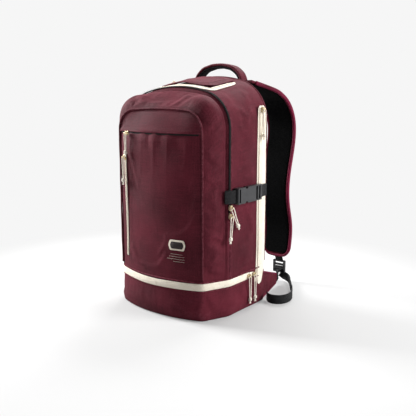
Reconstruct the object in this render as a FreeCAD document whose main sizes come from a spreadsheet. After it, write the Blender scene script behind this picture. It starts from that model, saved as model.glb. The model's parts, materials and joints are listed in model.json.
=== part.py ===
import FreeCAD, Part
import math
import os
import re
import Sketcher
from FreeCAD import Placement, Rotation, Vector

# A travel backpack. Millimetres, +Z up, the front towards -Y, the wearer's back towards +Y.
# The origin is on the floor, under the middle of the bag.

SIZES = {
    # bag outline
    "bag_width": 284, "front_depth": 97, "rear_depth": 97, "seam_setback": 38,
    "base_height": 76, "seam_top": 486, "rear_top": 512, "arch_corner": 90, "crown_angle": 15,
    "pocket_width": 234, "pocket_top": 441, "pocket_corner": 45, "pocket_crown": 4,
    "bulge_radius": 297, "bulge_drop": 90, "wall": 3, "gap": 0.3,
    # lid over the mouth of the main compartment
    "lid_half": 72, "lid_front": 15, "lid_rear": 78, "lid_thick": 6,
    "mouth_half": 60, "mouth_front": 6, "mouth_rear": 66,
    # inside and back
    "board_thick": 3, "sheet_thick": 1.5, "sleeve_half": 118, "sleeve_top": 360, "sleeve_depth": 17,
    "foam_half": 122, "foam_low": 40, "foam_top": 484, "foam_thick": 15, "foam_corner": 60,
    "back_crown": 8, "foam_edge": 8,
    # pocket seams and the woven label
    "hem_height": 393, "pocket_zip_low": 384,
    "label_left": 44, "label_right": 82, "label_low": 152, "label_top": 172,
    # zips
    "tape_thick": 1.2, "band_low": 67, "band_high": 84, "band_end": 58, "arch_zip_width": 5,
    "arch_zip_low": 216, "side_zip_low": 20, "side_zip_top": 447,
    "upright_zip_out": 93, "upright_zip_in": 85, "upright_zip_low": 115, "upright_zip_top": 346,
    "top_zip_out": 88, "top_zip_in": 74, "top_zip_front": 32, "top_zip_turn": 17, "top_zip_rear": 60,
    # zip sliders, where each one stands, and their pulls
    "slider_length": 12, "slider_width": 9, "slider_thick": 4.4, "eye_height": 6.4, "eye_radius": 1.8,
    "bail_radius": 3, "bail_bend": 3.06, "bail_thick": 1.6,
    "upright_slider_height": 336, "level_slider_left": 77,
    "side_slider_back": 76, "side_slider_height": 438,
    "base_front_back": 30, "base_rear_back": 50, "arch_upper_height": 239, "arch_lower_height": 221,
    "top_slider_left": 80, "top_slider_forward": 50,
    "cord_diameter": 2.2, "knot_radius": 4, "knot_height": 9,
    # handle
    "handle_half": 65, "handle_low": 493, "handle_top": 542, "handle_corner": 36, "handle_centre": 117,
    "handle_width": 26, "handle_crown": 12, "handle_pad_thick": 6, "handle_lining_thick": 4.5,
    # shoulder straps
    "strap_inner": 60, "strap_outer": 130, "strap_thick": 8, "mesh_thick": 2.5, "strap_corner": 26,
    "webbing_width": 28, "webbing_thick": 2, "adjuster_width": 22, "adjuster_thick": 1.8,
    "lock_width": 34, "lock_height": 32, "lock_thick": 6, "lock_edge": 2, "lock_slot": 5, "lock_step": 9.5,
    "wing_low": 4, "wing_top": 68, "wing_tip_half": 12, "wing_thick": 3,
    # compression strap and its side release buckle
    "buckle_height": 34, "buckle_thick": 12, "buckle_standoff": 2.5, "strap_level": 262,
    "female_front": 28, "female_rear": 17, "male_rear": 62, "socket_depth": 24, "socket_height": 26,
    "socket_thick": 7, "notch_half": 5, "notch_radius": 5.2, "notch_back": 14,
}

doc = FreeCAD.newDocument("TravelBackpack")
sheet = doc.addObject("Spreadsheet::Sheet", "Sizes")
for row, (alias, size) in enumerate(SIZES.items(), start=1):
    sheet.set(f"A{row}", alias)
    sheet.set(f"B{row}", str(size))
    sheet.setAlias(f"B{row}", alias)
doc.recompute()

BULGE_STATIONS = (1.0, 0.85, 0.6, 0.3)
# a sketch on the XZ plane faces -Y, so its levels count the other way
LEVEL_SIGN = {"XY": 1, "XZ": -1, "YZ": 1}
FAR = 1500


def value(text):
    """The number that an expression in the sheet's words stands for."""
    return float(sheet.evalExpression(text))


def linked(text):
    """The same expression as other objects write it, with the sheet's name before each alias."""
    return re.sub(r"[a-z_]+", lambda m: f"Sizes.{m.group()}" if m.group() in SIZES else m.group(), text)


# ---------------------------------------------------------------- sketches and features

def new_body(label, placement=None):
    body = doc.addObject("PartDesign::Body", label)
    body.Label = label
    if placement:
        body.Placement = placement
    return body


def arc_centre(p, q, radius, turn):
    """Centre of the short arc from p to q that turns left (turn 1) or right (turn -1)."""
    middle = (p + q) * 0.5
    chord = q - p
    rise = math.sqrt(max(radius ** 2 - (chord.Length / 2) ** 2, 0))
    return middle + Vector(-chord.y, chord.x, 0).normalize() * rise * turn


def outline(body, plane, level, *loops):
    """A sketch on one of the body's own planes, at a level along the world axis that the plane faces.

    A loop is a list of (x, y) or (x, y, radius, turn) corners in the sheet's words, where a radius makes
    the edge to the next corner an arc, or one ("circle", x, y, radius).
    """
    sketch = body.newObject("Sketcher::SketchObject", "Outline")
    origin_plane = next(f for f in body.Origin.OriginFeatures if f.Role == f"{plane}_Plane")
    sketch.AttachmentSupport = [(origin_plane, "")]
    sketch.MapMode = "FlatFace"
    sketch.setExpression("AttachmentOffset.Base.z", linked(f"{LEVEL_SIGN[plane]} * ({level})"))
    for loop in loops:
        first = sketch.GeometryCount
        if loop[0] == "circle":
            x, y, radius = loop[1:]
            circle = Part.Circle(Vector(value(x), value(y), 0), Vector(0, 0, 1), value(radius))
            sketch.addGeometry(circle, False)
            hold_point(sketch, first, 3, x, y)
            index = sketch.addConstraint(Sketcher.Constraint("Radius", first, value(radius)))
            sketch.setExpression(f"Constraints[{index}]", linked(radius))
            continue
        points = [Vector(value(c[0]), value(c[1]), 0) for c in loop]
        ends = []
        for number, corner in enumerate(loop):
            p, q = points[number], points[(number + 1) % len(loop)]
            if len(corner) == 2:
                sketch.addGeometry(Part.LineSegment(p, q), False)
                ends.append((1, 2))
                continue
            radius, turn = value(corner[2]), corner[3]
            centre = arc_centre(p, q, radius, turn)
            a, b = (p, q) if turn > 0 else (q, p)
            start, stop = (math.atan2(e.y - centre.y, e.x - centre.x) for e in (a, b))
            stop += 2 * math.pi if stop < start else 0
            arc = Part.ArcOfCircle(Part.Circle(centre, Vector(0, 0, 1), radius), start, stop)
            sketch.addGeometry(arc, False)
            ends.append((1, 2) if turn > 0 else (2, 1))
        count = len(loop)
        for number in range(count):
            after = (number + 1) % count
            sketch.addConstraint(Sketcher.Constraint(
                "Coincident", first + number, ends[number][1], first + after, ends[after][0]))
        for number, corner in enumerate(loop):
            hold_point(sketch, first + number, ends[number][0], corner[0], corner[1])
            if len(corner) > 2:
                index = sketch.addConstraint(
                    Sketcher.Constraint("Radius", first + number, value(corner[2])))
                sketch.setExpression(f"Constraints[{index}]", linked(corner[2]))
    return sketch


def hold_point(sketch, geometry, end, x, y):
    """Hold one point of a sketch at its two distances from the origin."""
    for kind, text, axis in (("DistanceX", x, -2), ("DistanceY", y, -1)):
        if abs(value(text)) < 1e-9:
            sketch.addConstraint(Sketcher.Constraint("PointOnObject", geometry, end, axis))
            continue
        index = sketch.addConstraint(Sketcher.Constraint(kind, -1, 1, geometry, end, value(text)))
        sketch.setExpression(f"Constraints[{index}]", linked(text))


def pad(body, sketch, length, both_sides=False, backwards=False):
    feature = body.newObject("PartDesign::Pad", "Pad")
    feature.Profile = sketch
    feature.setExpression("Length", linked(length))
    feature.SideType = "Symmetric" if both_sides else "One side"
    feature.Reversed = backwards
    return feature


def pocket(body, sketch, length=None):
    """Cut the sketch through the body for a length, or right through both ways."""
    feature = body.newObject("PartDesign::Pocket", "Pocket")
    feature.Profile = sketch
    if length is None:
        feature.Type = "Length"
        feature.Length = FAR
        feature.SideType = "Symmetric"
    else:
        feature.setExpression("Length", linked(length))
    return feature


def loft(body, sketches, cut=False):
    kind = "PartDesign::SubtractiveLoft" if cut else "PartDesign::AdditiveLoft"
    feature = body.newObject(kind, "Loft")
    feature.Profile = sketches[0]
    feature.Sections = sketches[1:]
    feature.Ruled = True
    return feature


def rectangle(x0, y0, x1, y1):
    return [(x0, y0), (x1, y0), (x1, y1), (x0, y1)]


def keep_only(body, plane, *outlines):
    """Cut away everything outside the given outlines, seen along the plane's normal."""
    frame = rectangle(f"-{FAR}", f"-{FAR}", f"{FAR}", f"{FAR}")
    pocket(body, outline(body, plane, "0", frame, *outlines))


def fillet(body, edges, radius):
    """Round the edges of the body's last feature that the test picks."""
    doc.recompute()
    last = body.Tip
    names = [f"Edge{n}" for n, edge in enumerate(last.Shape.Edges, start=1) if edges(edge)]
    feature = body.newObject("PartDesign::Fillet", "Fillet")
    feature.Base = (last, names)
    feature.setExpression("Radius", linked(radius))
    return feature


# ---------------------------------------------------------------- outlines of the bag

def arch(half, low, top, corner, crown):
    """A flat-bottomed arch: straight sides, round top corners and a crowned top."""
    half, top, corner = f"({half})", f"({top})", f"({corner})"
    shoulder = f"({half} - {corner} * (1 - sin({crown})))"
    crown_radius = f"({shoulder} / sin({crown}))"
    side_top = f"({top} - {corner} * cos({crown}) - {crown_radius} * (1 - cos({crown})))"
    shoulder_top = f"({side_top} + {corner} * cos({crown}))"
    return [
        (f"-({half})", low), (half, low),
        (half, side_top, corner, 1), (shoulder, shoulder_top, crown_radius, 1),
        (f"-{shoulder}", shoulder_top, corner, 1), (f"-({half})", side_top),
    ]


def bag_arch(grow, top, low="base_height + gap"):
    return arch(f"bag_width / 2 + ({grow})", low, f"{top} + ({grow})",
                f"arch_corner + ({grow})", "crown_angle")


def pocket_arch(grow, low="base_height + gap", share=1.0):
    """Outline of the front face, or of one step of its bulge at a share of its half width."""
    half = f"(pocket_width / 2 * {share} + ({grow}))"
    top = f"(pocket_top - bulge_drop * {1 - share:.3g} + ({grow}))"
    corner = f"(pocket_corner * {0.3 + 0.7 * share:.3g} + ({grow}))"
    return arch(half, low, top, corner, "pocket_crown")


def bulge_depth(share):
    """How far the front stands out where its half width is this share of the whole."""
    reach = f"(pocket_width / 2 * {share})"
    flat = "(bulge_radius * bulge_radius - pocket_width * pocket_width / 4)"
    return f"(sqrt(bulge_radius * bulge_radius - {reach} * {reach}) - sqrt({flat}))"


def bag_plan(grow):
    """Plan of the bag's lower part, anticlockwise: rear, sides, slanted corners and the bulged front."""
    half = f"(bag_width / 2 + ({grow}))"
    right = [(f"(pocket_width / 2 * {share} + ({grow}) * {share:.2g})",
              f"-(front_depth + ({grow}) + {bulge_depth(share)})") for share in BULGE_STATIONS]
    left = [(f"-{x}", y) for x, y in right]
    rear = f"(rear_depth + ({grow}))"
    return [(half, rear), (f"-{half}", rear), (f"-{half}", "-seam_setback"), *left, *reversed(right),
            (half, "-seam_setback")]


# ---------------------------------------------------------------- shells and inner pieces

def bottom_compartment_shell():
    body = new_body("bottom_compartment_shell")
    pad(body, outline(body, "XY", "0", bag_plan("0")), "base_height")
    pocket(body, outline(body, "XY", "base_height", bag_plan("-wall")), "base_height - wall")
    fillet(body, lambda e: e.BoundBox.ZMax < 0.01, "wall * 0.9")


def base_board():
    body = new_body("base_board")
    pad(body, outline(body, "XY", "wall + gap", bag_plan("-wall - 4")), "board_thick")


def compartment_floor():
    body = new_body("compartment_floor")
    pad(body, outline(body, "XY", "base_height - board_thick", bag_plan("-wall - gap")), "board_thick")


def main_shell():
    body = new_body("main_shell")
    front, rear = "-seam_setback", "rear_depth"
    loft(body, [outline(body, "XZ", front, bag_arch("0", "seam_top")),
                outline(body, "XZ", rear, bag_arch("0", "rear_top"))])
    slope = "((rear_top - seam_top) / (rear_depth + seam_setback))"
    low = "base_height + gap + wall"
    inner_front = bag_arch("-wall", f"seam_top + wall * {slope}", low)
    inner_rear = bag_arch("-wall", f"rear_top - wall * {slope}", low)
    loft(body, [outline(body, "XZ", f"{front} + wall", inner_front),
                outline(body, "XZ", f"{rear} - wall", inner_rear)], cut=True)
    mouth = rectangle("-mouth_half", "-mouth_front", "mouth_half", "mouth_rear")
    pocket(body, outline(body, "XY", "rear_top + 10", mouth), "80")


def top_sheet(label, inner, outer, *keeps):
    """A piece that follows the sloping, crowned top at a small height above it."""
    body = new_body(label)
    for grow, cut in ((outer, False), (inner, True)):
        loft(body, [outline(body, "XZ", "-seam_setback", bag_arch(grow, "seam_top")),
                    outline(body, "XZ", "rear_depth", bag_arch(grow, "rear_top"))], cut)
    keep_only(body, "XY", *keeps)
    keep_only(body, "XZ", rectangle(f"-{FAR / 2}", "seam_top - 60", f"{FAR / 2}", "rear_top + 60"))


def front_pouch():
    body = new_body("front_pouch")
    front, rear = "-front_depth", "-seam_setback - gap"
    loft(body, [outline(body, "XZ", front, pocket_arch("0")),
                outline(body, "XZ", rear, bag_arch("-gap * 0.4", "seam_top"))])
    low = "base_height + gap + wall"
    loft(body, [outline(body, "XZ", f"{front} + wall", pocket_arch("-wall * 0.6", low)),
                outline(body, "XZ", f"{rear} + 1", bag_arch("-wall", "seam_top", low))], cut=True)


def front_sheet(label, thickness, lift, *keeps):
    """A piece of the bulged front face, hollow behind, cut to the given outlines."""
    body = new_body(label)
    for grow, cut in ((lift, False), (f"{lift} - ({thickness})", True)):
        start = "-(front_depth + gap) + wall + 1" if cut else "-(front_depth + gap)"
        sections = [outline(body, "XZ", start, pocket_arch(f"{grow} - gap"))]
        flush = value(grow) == 0
        for share in BULGE_STATIONS[1 if flush else 0:]:
            level = f"-(front_depth + gap + {bulge_depth(share)} + ({grow}))"
            sections.append(outline(body, "XZ", level, pocket_arch(f"{grow} - gap", share=share)))
        loft(body, sections, cut)
    keep_only(body, "XZ", *keeps)


def back_foam_panel():
    body = new_body("back_foam_panel")
    pad(body, outline(body, "XZ", "rear_depth + gap",
                      arch("foam_half", "foam_low", "foam_top", "foam_corner", "back_crown")),
        "foam_thick", backwards=True)
    fillet(body, lambda e: e.BoundBox.YMin > value("rear_depth + gap + foam_thick") - 0.01, "foam_edge")


def frame_sheet():
    body = new_body("frame_sheet")
    pad(body, outline(body, "XZ", "rear_depth - wall - gap",
                      arch("bag_width / 2 - 18", "base_height + 8", "rear_top - 40", "foam_corner",
                           "back_crown")), "sheet_thick")


def laptop_sleeve():
    body = new_body("laptop_sleeve")
    rear = "rear_depth - wall - 2 * gap - sheet_thick"
    front = f"{rear} - sleeve_depth"
    block = rectangle("-sleeve_half", front, "sleeve_half", rear)
    room = rectangle("-sleeve_half + 2", f"{front} + 2", "sleeve_half - 2", f"{rear} - 2")
    pad(body, outline(body, "XY", "base_height + 10", block), "sleeve_top - base_height - 10")
    pocket(body, outline(body, "XY", "sleeve_top", room), "sleeve_top - base_height - 12")


# ---------------------------------------------------------------- zip tapes

def zip_arch():
    body = new_body("zip_arch")
    low = "arch_zip_low"
    outer = bag_arch("gap + tape_thick", "seam_top", low)
    inner = bag_arch("gap", "seam_top", low)
    ring = [*outer[1:], outer[0], inner[0]]
    ring += reversed_arcs(inner)
    pad(body, outline(body, "XZ", "-seam_setback - gap", ring), "arch_zip_width")


def reversed_arcs(corners):
    """The open side of an arch walked the other way, so that its arcs turn right."""
    left, right = corners[0], corners[1]
    side_right, shoulder_right, shoulder_left, side_left = corners[2:]
    return [(*side_left[:2], side_right[2], -1), (*shoulder_left[:2], shoulder_right[2], -1),
            (*shoulder_right[:2], side_right[2], -1), side_right[:2], right]


def zip_base():
    body = new_body("zip_base")
    height = "band_high - band_low"
    pad(body, outline(body, "XY", "band_low", bag_plan("gap + tape_thick")), height)
    pocket(body, outline(body, "XY", "band_high", bag_plan("gap")), height)
    keep_only(body, "XY", rectangle(f"-{FAR / 2}", f"-{FAR / 2}", f"{FAR / 2}", "band_end"))


def zip_side():
    body = new_body("zip_side")
    shape = [("52", "side_zip_low"), ("70", "side_zip_low"), ("85", "76"), ("90", "130"),
             ("90", "side_zip_top - 12"), ("84", "side_zip_top"), ("66", "side_zip_top"),
             ("62", "side_zip_top - 12"), ("62", "130"), ("60", "76")]
    pad(body, outline(body, "YZ", "bag_width / 2 + gap", shape), "tape_thick")


# ---------------------------------------------------------------- zip sliders and their pull cords

def along(direction, normal):
    """A rotation whose local +Z lies along the travel and local +X points out of the surface."""
    return Rotation(normal, Vector(0, 0, 0), direction, "ZXY")


def slider(name, foot, travel, normal, turned):
    """A zip slider on its tape: the body, and the bail that the pull cord goes through.

    The bail's eye faces along the zip where the pull hangs across it, and across the zip elsewhere.
    """
    body = new_body(f"slider_{name}", Placement(foot, along(travel, normal)))
    half_length, half_width = "slider_length / 2", "slider_width / 2"
    nose = "slider_width / 4"
    shape = [(f"-{half_width}", f"-{half_length} + 3"), (f"-{nose}", f"-{half_length}"),
             (nose, f"-{half_length}"), (half_width, f"-{half_length} + 3"),
             (half_width, f"{half_length} - 2"), (f"{half_width} - 2", half_length),
             (f"-{half_width} + 2", half_length), (f"-{half_width}", f"{half_length} - 2")]
    pad(body, outline(body, "YZ", "0", shape), "slider_thick")
    low = "slider_thick / 2"
    plane = "XY" if turned else "XZ"
    shape = [(low, "-bail_radius"), ("eye_height", "-bail_radius", "bail_bend", 1),
             ("eye_height", "bail_radius"), (low, "bail_radius")]
    eye = ("circle", "eye_height", "0", "eye_radius")
    pad(body, outline(body, plane, "0", shape, eye), "bail_thick", both_sides=True)


def rounded_path(points):
    """Straight runs joined by tangent arcs. Returns the wire, its length and its smallest radius."""
    edges, smallest, last = [], math.inf, points[0]
    for before, corner, after in zip(points, points[1:], points[2:]):
        back, forth = (before - corner), (after - corner)
        turn = math.pi - back.getAngle(forth)
        cut = 0.45 * min(back.Length, forth.Length)
        radius = cut / math.tan(turn / 2)
        smallest = min(smallest, radius)
        start = corner + Vector(back).normalize() * cut
        end = corner + Vector(forth).normalize() * cut
        bisector = (Vector(back).normalize() + Vector(forth).normalize()).normalize()
        middle = corner + bisector * (radius / math.cos(turn / 2) - radius)
        edges.append(Part.LineSegment(last, start).toShape())
        edges.append(Part.Arc(start, middle, end).toShape())
        last = end
    edges.append(Part.LineSegment(last, points[-1]).toShape())
    wire = Part.Wire(edges)
    return wire, wire.Length, smallest


def rounded(vector):
    return [round(c, 4) for c in vector]


def pull(name, eye, across, down, length, lean=0):
    """A doubled cord from the slider's eye down to its knot and back, with the knot and its two ends.

    It swings about the eye's own line, and a lean in degrees turns its middle line towards that line.
    """
    radius = value("cord_diameter") / 2
    half_turn = 2.4
    right_leg = [(0.15, 0.0), (3.9, 0.3), (4.2, 6.0), (3.0, 0.4 * length), (half_turn, length)]
    left_leg = [(-u, v) for u, v in reversed(right_leg)]
    leaning = Rotation(across.cross(down), lean)
    side, run = leaning.multVec(across), leaning.multVec(down)

    def place(u, v):
        return eye + side * u + run * v

    points = [place(u, v) for u, v in right_leg + left_leg]
    wire, path_length, smallest = rounded_path(points)
    section = Part.Wire(Part.Circle(points[0], (points[1] - points[0]).normalize(), radius).toShape())
    tube = wire.makePipeShell([section], True, False)
    ideal = math.pi * radius ** 2 * path_length
    print(f"pull_{name}: cord {path_length:.1f} mm, smallest radius {smallest:.2f} mm, "
          f"volume ratio {tube.Volume / ideal:.3f}, eye {rounded(eye)}, swings about {rounded(across)}")
    middle = place(0, length - value("knot_height") * 0.6)
    knot = Part.makeCylinder(value("knot_radius"), value("knot_height"), middle, run)
    rims = [e for e in knot.Edges if e.Curve.TypeId.endswith("Circle")]
    knot = knot.makeFillet(value("knot_radius") * 0.6, rims)
    ends = Part.makeCylinder(radius * 1.6, 6, middle + run * (value("knot_height") - 1), run)
    feature = doc.addObject("Part::Feature", f"pull_{name}")
    feature.Label = f"pull_{name}"
    feature.Shape = tube.fuse([knot, ends]).removeSplitter()
    feature.Placement = Placement()


def zip_slider_and_pull(name, foot, travel, normal, down, length, lean=0, turned=False):
    slider(name, foot, travel, normal, turned)
    eye = foot + normal * value("eye_height")
    pull(name, eye, down.cross(normal), down, length, lean)


def bulge_point(x):
    """A point of the bulged front at a place across it, and the outward direction there."""
    radius = value("bulge_radius")
    axis_y = math.sqrt(radius ** 2 - value("pocket_width") ** 2 / 4) - value("front_depth") - value("gap")
    outward = Vector(x, -math.sqrt(radius ** 2 - x ** 2), 0) / radius
    return Vector(x, 0, 0) + Vector(0, axis_y + outward.y * radius, 0), outward


def shoulder_of_top():
    """Frame of the top slider on the left shoulder of the sloping top: foot, travel, outward, across."""
    slope = Vector(0, value("rear_depth + seam_setback"), value("rear_top - seam_top")).normalize()
    left = value("top_slider_left")
    tilt = math.asin((left - value("bag_width / 2 - arch_corner")) / value("arch_corner"))
    centre_height = value("rear_top - arch_corner * cos(crown_angle)"
                          " - (bag_width / 2 - arch_corner * (1 - sin(crown_angle))) / sin(crown_angle)"
                          " * (1 - cos(crown_angle))")
    across = Vector(-math.cos(tilt), 0, -math.sin(tilt))
    outward = slope.cross(across).normalize()
    outward = outward if outward.z > 0 else outward * -1
    rear_point = Vector(-left, value("rear_depth"), centre_height + value("arch_corner") * math.cos(tilt))
    lift = value("tape_thick + 2 * gap") + 1
    foot = rear_point - slope * value("top_slider_forward") + outward * lift
    return foot, slope, outward, across


def sliders_and_pulls():
    up, down = Vector(0, 0, 1), Vector(0, 0, -1)
    right, back = Vector(1, 0, 0), Vector(0, 1, 0)
    stand = value("tape_thick + 2 * gap")
    side_x = value("bag_width / 2") + stand
    # front pocket, upright zip beside the left seam
    spot, outward = bulge_point(-value("(upright_zip_in + upright_zip_out) / 2"))
    foot = spot + outward * stand + up * value("upright_slider_height")
    zip_slider_and_pull("front_upright", foot, down, outward, down, 52)
    # front pocket, level zip under the yoke's hem
    spot, outward = bulge_point(-value("level_slider_left"))
    foot = spot + outward * stand + up * value("(hem_height + pocket_zip_low) / 2")
    zip_slider_and_pull("front_level", foot, up.cross(outward) * -1, outward, down, 42, turned=True)
    # side zip of the main compartment
    foot = Vector(side_x, value("side_slider_back"), value("side_slider_height"))
    zip_slider_and_pull("side", foot, down, right, down, 56)
    # pair at the right end of the bottom compartment's zip
    band_middle = value("(band_low + band_high) / 2")
    for name in ("base_front", "base_rear"):
        foot = Vector(side_x, value(f"{name}_back"), band_middle)
        zip_slider_and_pull(name, foot, back, right, down, 54, turned=True)
    # pair at the lower right end of the front compartment's zip, the upper pull leaning to the rear
    seam_y = value("-seam_setback - gap - arch_zip_width / 2")
    for name, length, lean in (("arch_upper", 46, 28), ("arch_lower", 48, -6)):
        foot = Vector(side_x, seam_y, value(f"{name}_height"))
        zip_slider_and_pull(name, foot, up, right, down, length, lean)
    # slider on the left leg of the lid's zip, its pull lying down the slope of the shoulder
    foot, slope, outward, across = shoulder_of_top()
    zip_slider_and_pull("top", foot, slope, outward, across, 40, turned=True)


# ---------------------------------------------------------------- handle

def handle_layer(label, outer, thick, width):
    body = new_body(label)
    half, top, corner = "handle_half", "handle_top", "handle_corner"
    outside = arch(f"{half} - ({outer})", "handle_low", f"{top} - ({outer})", f"{corner} - ({outer})",
                   "handle_crown")
    inner = f"{outer} + {thick}"
    inside = arch(f"{half} - ({inner})", "handle_low", f"{top} - ({inner})", f"{corner} - ({inner})",
                  "handle_crown")
    ring = [*outside[1:], outside[0], inside[0]]
    ring += reversed_arcs(inside)
    sketch = outline(body, "XZ", "handle_centre", ring)
    pad(body, sketch, width, both_sides=True)


# ---------------------------------------------------------------- shoulder straps

# middle line of a hanging strap, from its seam at the top of the back down to its end: (y, z)
STRAP_LINE = ((108, 500), (135, 491), (161, 475), (210, 441), (242, 388), (236, 331), (222, 269),
              (224, 210), (240, 146), (234, 84))


def ribbon(line, near, far, x0, x1):
    """A layer beside a line in the YZ plane, from one distance outside it to another, and from x0 to x1."""
    curve = Part.BSplineCurve()
    curve.interpolate([Vector(0, y, z) for y, z in line])
    steps = 24
    sides = []
    for distance in (near, far):
        points = []
        for n in range(steps + 1):
            t = curve.FirstParameter + (curve.LastParameter - curve.FirstParameter) * n / steps
            normal = Vector(1, 0, 0).cross(curve.tangent(t)[0])
            points.append(curve.value(t) + normal * distance)
        side = Part.BSplineCurve()
        side.interpolate(points)
        sides.append(side)
    first, second = sides
    edges = [first.toShape(), Part.LineSegment(first.EndPoint, second.EndPoint).toShape(),
             second.toShape(), Part.LineSegment(second.StartPoint, first.StartPoint).toShape()]
    face = Part.Face(Part.Wire(Part.__sortEdges__(edges)))
    face.translate(Vector(x0, 0, 0))
    return face.extrude(Vector(x1 - x0, 0, 0))


def strap_front_view(inner, outer, low, corner, margin):
    """The strap seen from the front, with round lower corners and a narrower root, as a tall prism."""
    a, b = inner + margin, outer - margin
    neck, root, inner_taper, outer_taper = 440, 520, 14, 4
    shape = Part.makePolygon([
        Vector(a, 0, low), Vector(b, 0, low), Vector(b, 0, neck), Vector(b - outer_taper, 0, root),
        Vector(a + inner_taper, 0, root), Vector(a, 0, neck), Vector(a, 0, low)])
    prism = Part.Face(shape).extrude(Vector(0, 400, 0))
    lower = [e for e in prism.Edges if e.BoundBox.ZMax < low + 0.1 and e.BoundBox.YLength > 300]
    return prism.makeFillet(corner, lower)


def station_loft(stations, width, thick):
    """Flat webbing through stations of (centre, direction across, direction out of its face)."""
    sections = []
    for centre, across, out in stations:
        a, b = Vector(across).normalize() * width / 2, Vector(out).normalize() * thick / 2
        corners = [centre - a - b, centre + a - b, centre + a + b, centre - a + b]
        sections.append(Part.makePolygon(corners + corners[:1]))
    return Part.makeLoft(sections, True, True)


def side_of(shape, side):
    """The shape on the right, or its mirror image on the left."""
    return shape if side == "right" else shape.mirror(Vector(0, 0, 0), Vector(1, 0, 0))


def add_shape(label, shape, side):
    feature = doc.addObject("Part::Feature", f"{label}_{side}")
    feature.Label = f"{label}_{side}"
    feature.Shape = side_of(shape, side)
    feature.Placement = Placement()


LOCK_CENTRE = Vector(95, 246, 40)
WING_TIP = Vector(108, 208, 19)


def ladder_lock_shape():
    width, height, thick = value("lock_width"), value("lock_height"), value("lock_thick")
    frame = Part.makeBox(width, thick, height, LOCK_CENTRE - Vector(width, thick, height) / 2)
    corners = [e for e in frame.Edges if e.BoundBox.YLength > thick - 0.1]
    frame = frame.makeFillet(value("lock_edge"), corners)
    slot, opening = value("adjuster_width") + 3, value("lock_slot")
    for step in (-1, 0, 1):
        rise = step * value("lock_step")
        low = LOCK_CENTRE + Vector(-slot / 2, -thick, rise - opening / 2)
        frame = frame.cut(Part.makeBox(slot, 2 * thick, opening, low))
    return frame


def wing_shape():
    """Three-cornered fabric wing from the bag's rear edge to the start of the adjuster webbing."""
    root_x, root_y = value("bag_width / 2 - 5"), value("rear_depth + 4 * gap")
    half_tip = Vector(0, 0, value("wing_tip_half"))
    corners = [Vector(root_x, root_y, value("wing_low")), Vector(root_x, root_y, value("wing_top")),
               WING_TIP + half_tip, WING_TIP - half_tip]
    face = Part.Face(Part.makePolygon(corners + corners[:1]))
    return face.extrude(face.normalAt(0, 0) * value("wing_thick"))


def adjuster_shape():
    """Webbing from the wing up into the ladder lock, and its loose tail round on the floor."""
    width, thick = value("adjuster_width"), value("adjuster_thick")
    up, right, back = Vector(0, 0, 1), Vector(1, 0, 0), Vector(0, 1, 0)
    out_of_wing = Vector(112, 29, 0).normalize()
    lead = station_loft([(WING_TIP + Vector(-1.2, 5, 0), up, out_of_wing),
                         (Vector(103, 227, 21), up + right * 0.5, Vector(1, 0.5, -0.5)),
                         (Vector(97, 238, 21.5), right + up * 0.2, back)], width * 0.9, thick)
    tail_line = ((118, 247, 13), (150, 208, 12), (180, 164, 12), (197, 122, 12), (188, 92, 12),
                 (168, 86, 12), (150, 100, 12))
    centres = [Vector(*p) for p in tail_line]
    stations = [(Vector(99, 253, 16), right * 0.6 + up, back)]
    for before, centre, after in zip(centres, centres[1:], centres[2:] + [centres[-1]]):
        stations.append((centre, up, (after - before).cross(up)))
    stations.insert(1, (centres[0], up, Vector(0.7, 0.7, 0)))
    tail = station_loft(stations, width, thick)
    return Part.makeCompound([lead, tail])


def shoulder_strap(side):
    inner, outer = value("strap_inner"), value("strap_outer")
    thick, mesh = value("strap_thick"), value("mesh_thick")
    low, corner = STRAP_LINE[-1][1], value("strap_corner")
    mesh_margin = 6
    outline_pad = strap_front_view(inner, outer, low - 2, corner, 0)
    outline_mesh = strap_front_view(inner, outer, low + 5, corner - 5, mesh_margin)
    inward = thick / 4
    pad_shape = ribbon(STRAP_LINE, -inward, thick - inward, inner, outer).common(outline_pad)
    mesh_shape = ribbon(STRAP_LINE, -inward - mesh, -inward, inner, outer).common(outline_mesh)
    add_shape("strap_pad", pad_shape, side)
    add_shape("strap_mesh", mesh_shape, side)
    end_y, end_z = STRAP_LINE[-1]
    lock_top = LOCK_CENTRE.z + value("lock_height") / 2
    right, back = Vector(1, 0, 0), Vector(0, 1, 0)
    tab = station_loft([(Vector(LOCK_CENTRE.x, end_y, end_z - 2.6), right, back),
                        (Vector(LOCK_CENTRE.x, LOCK_CENTRE.y, lock_top + 0.4), right, back)],
                       value("adjuster_width"), value("webbing_thick"))
    add_shape("strap_end_tab", tab, side)
    add_shape("ladder_lock", ladder_lock_shape(), side)
    add_shape("wing", wing_shape(), side)
    add_shape("adjuster_webbing", adjuster_shape(), side)


# ---------------------------------------------------------------- compression strap and buckle

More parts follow.
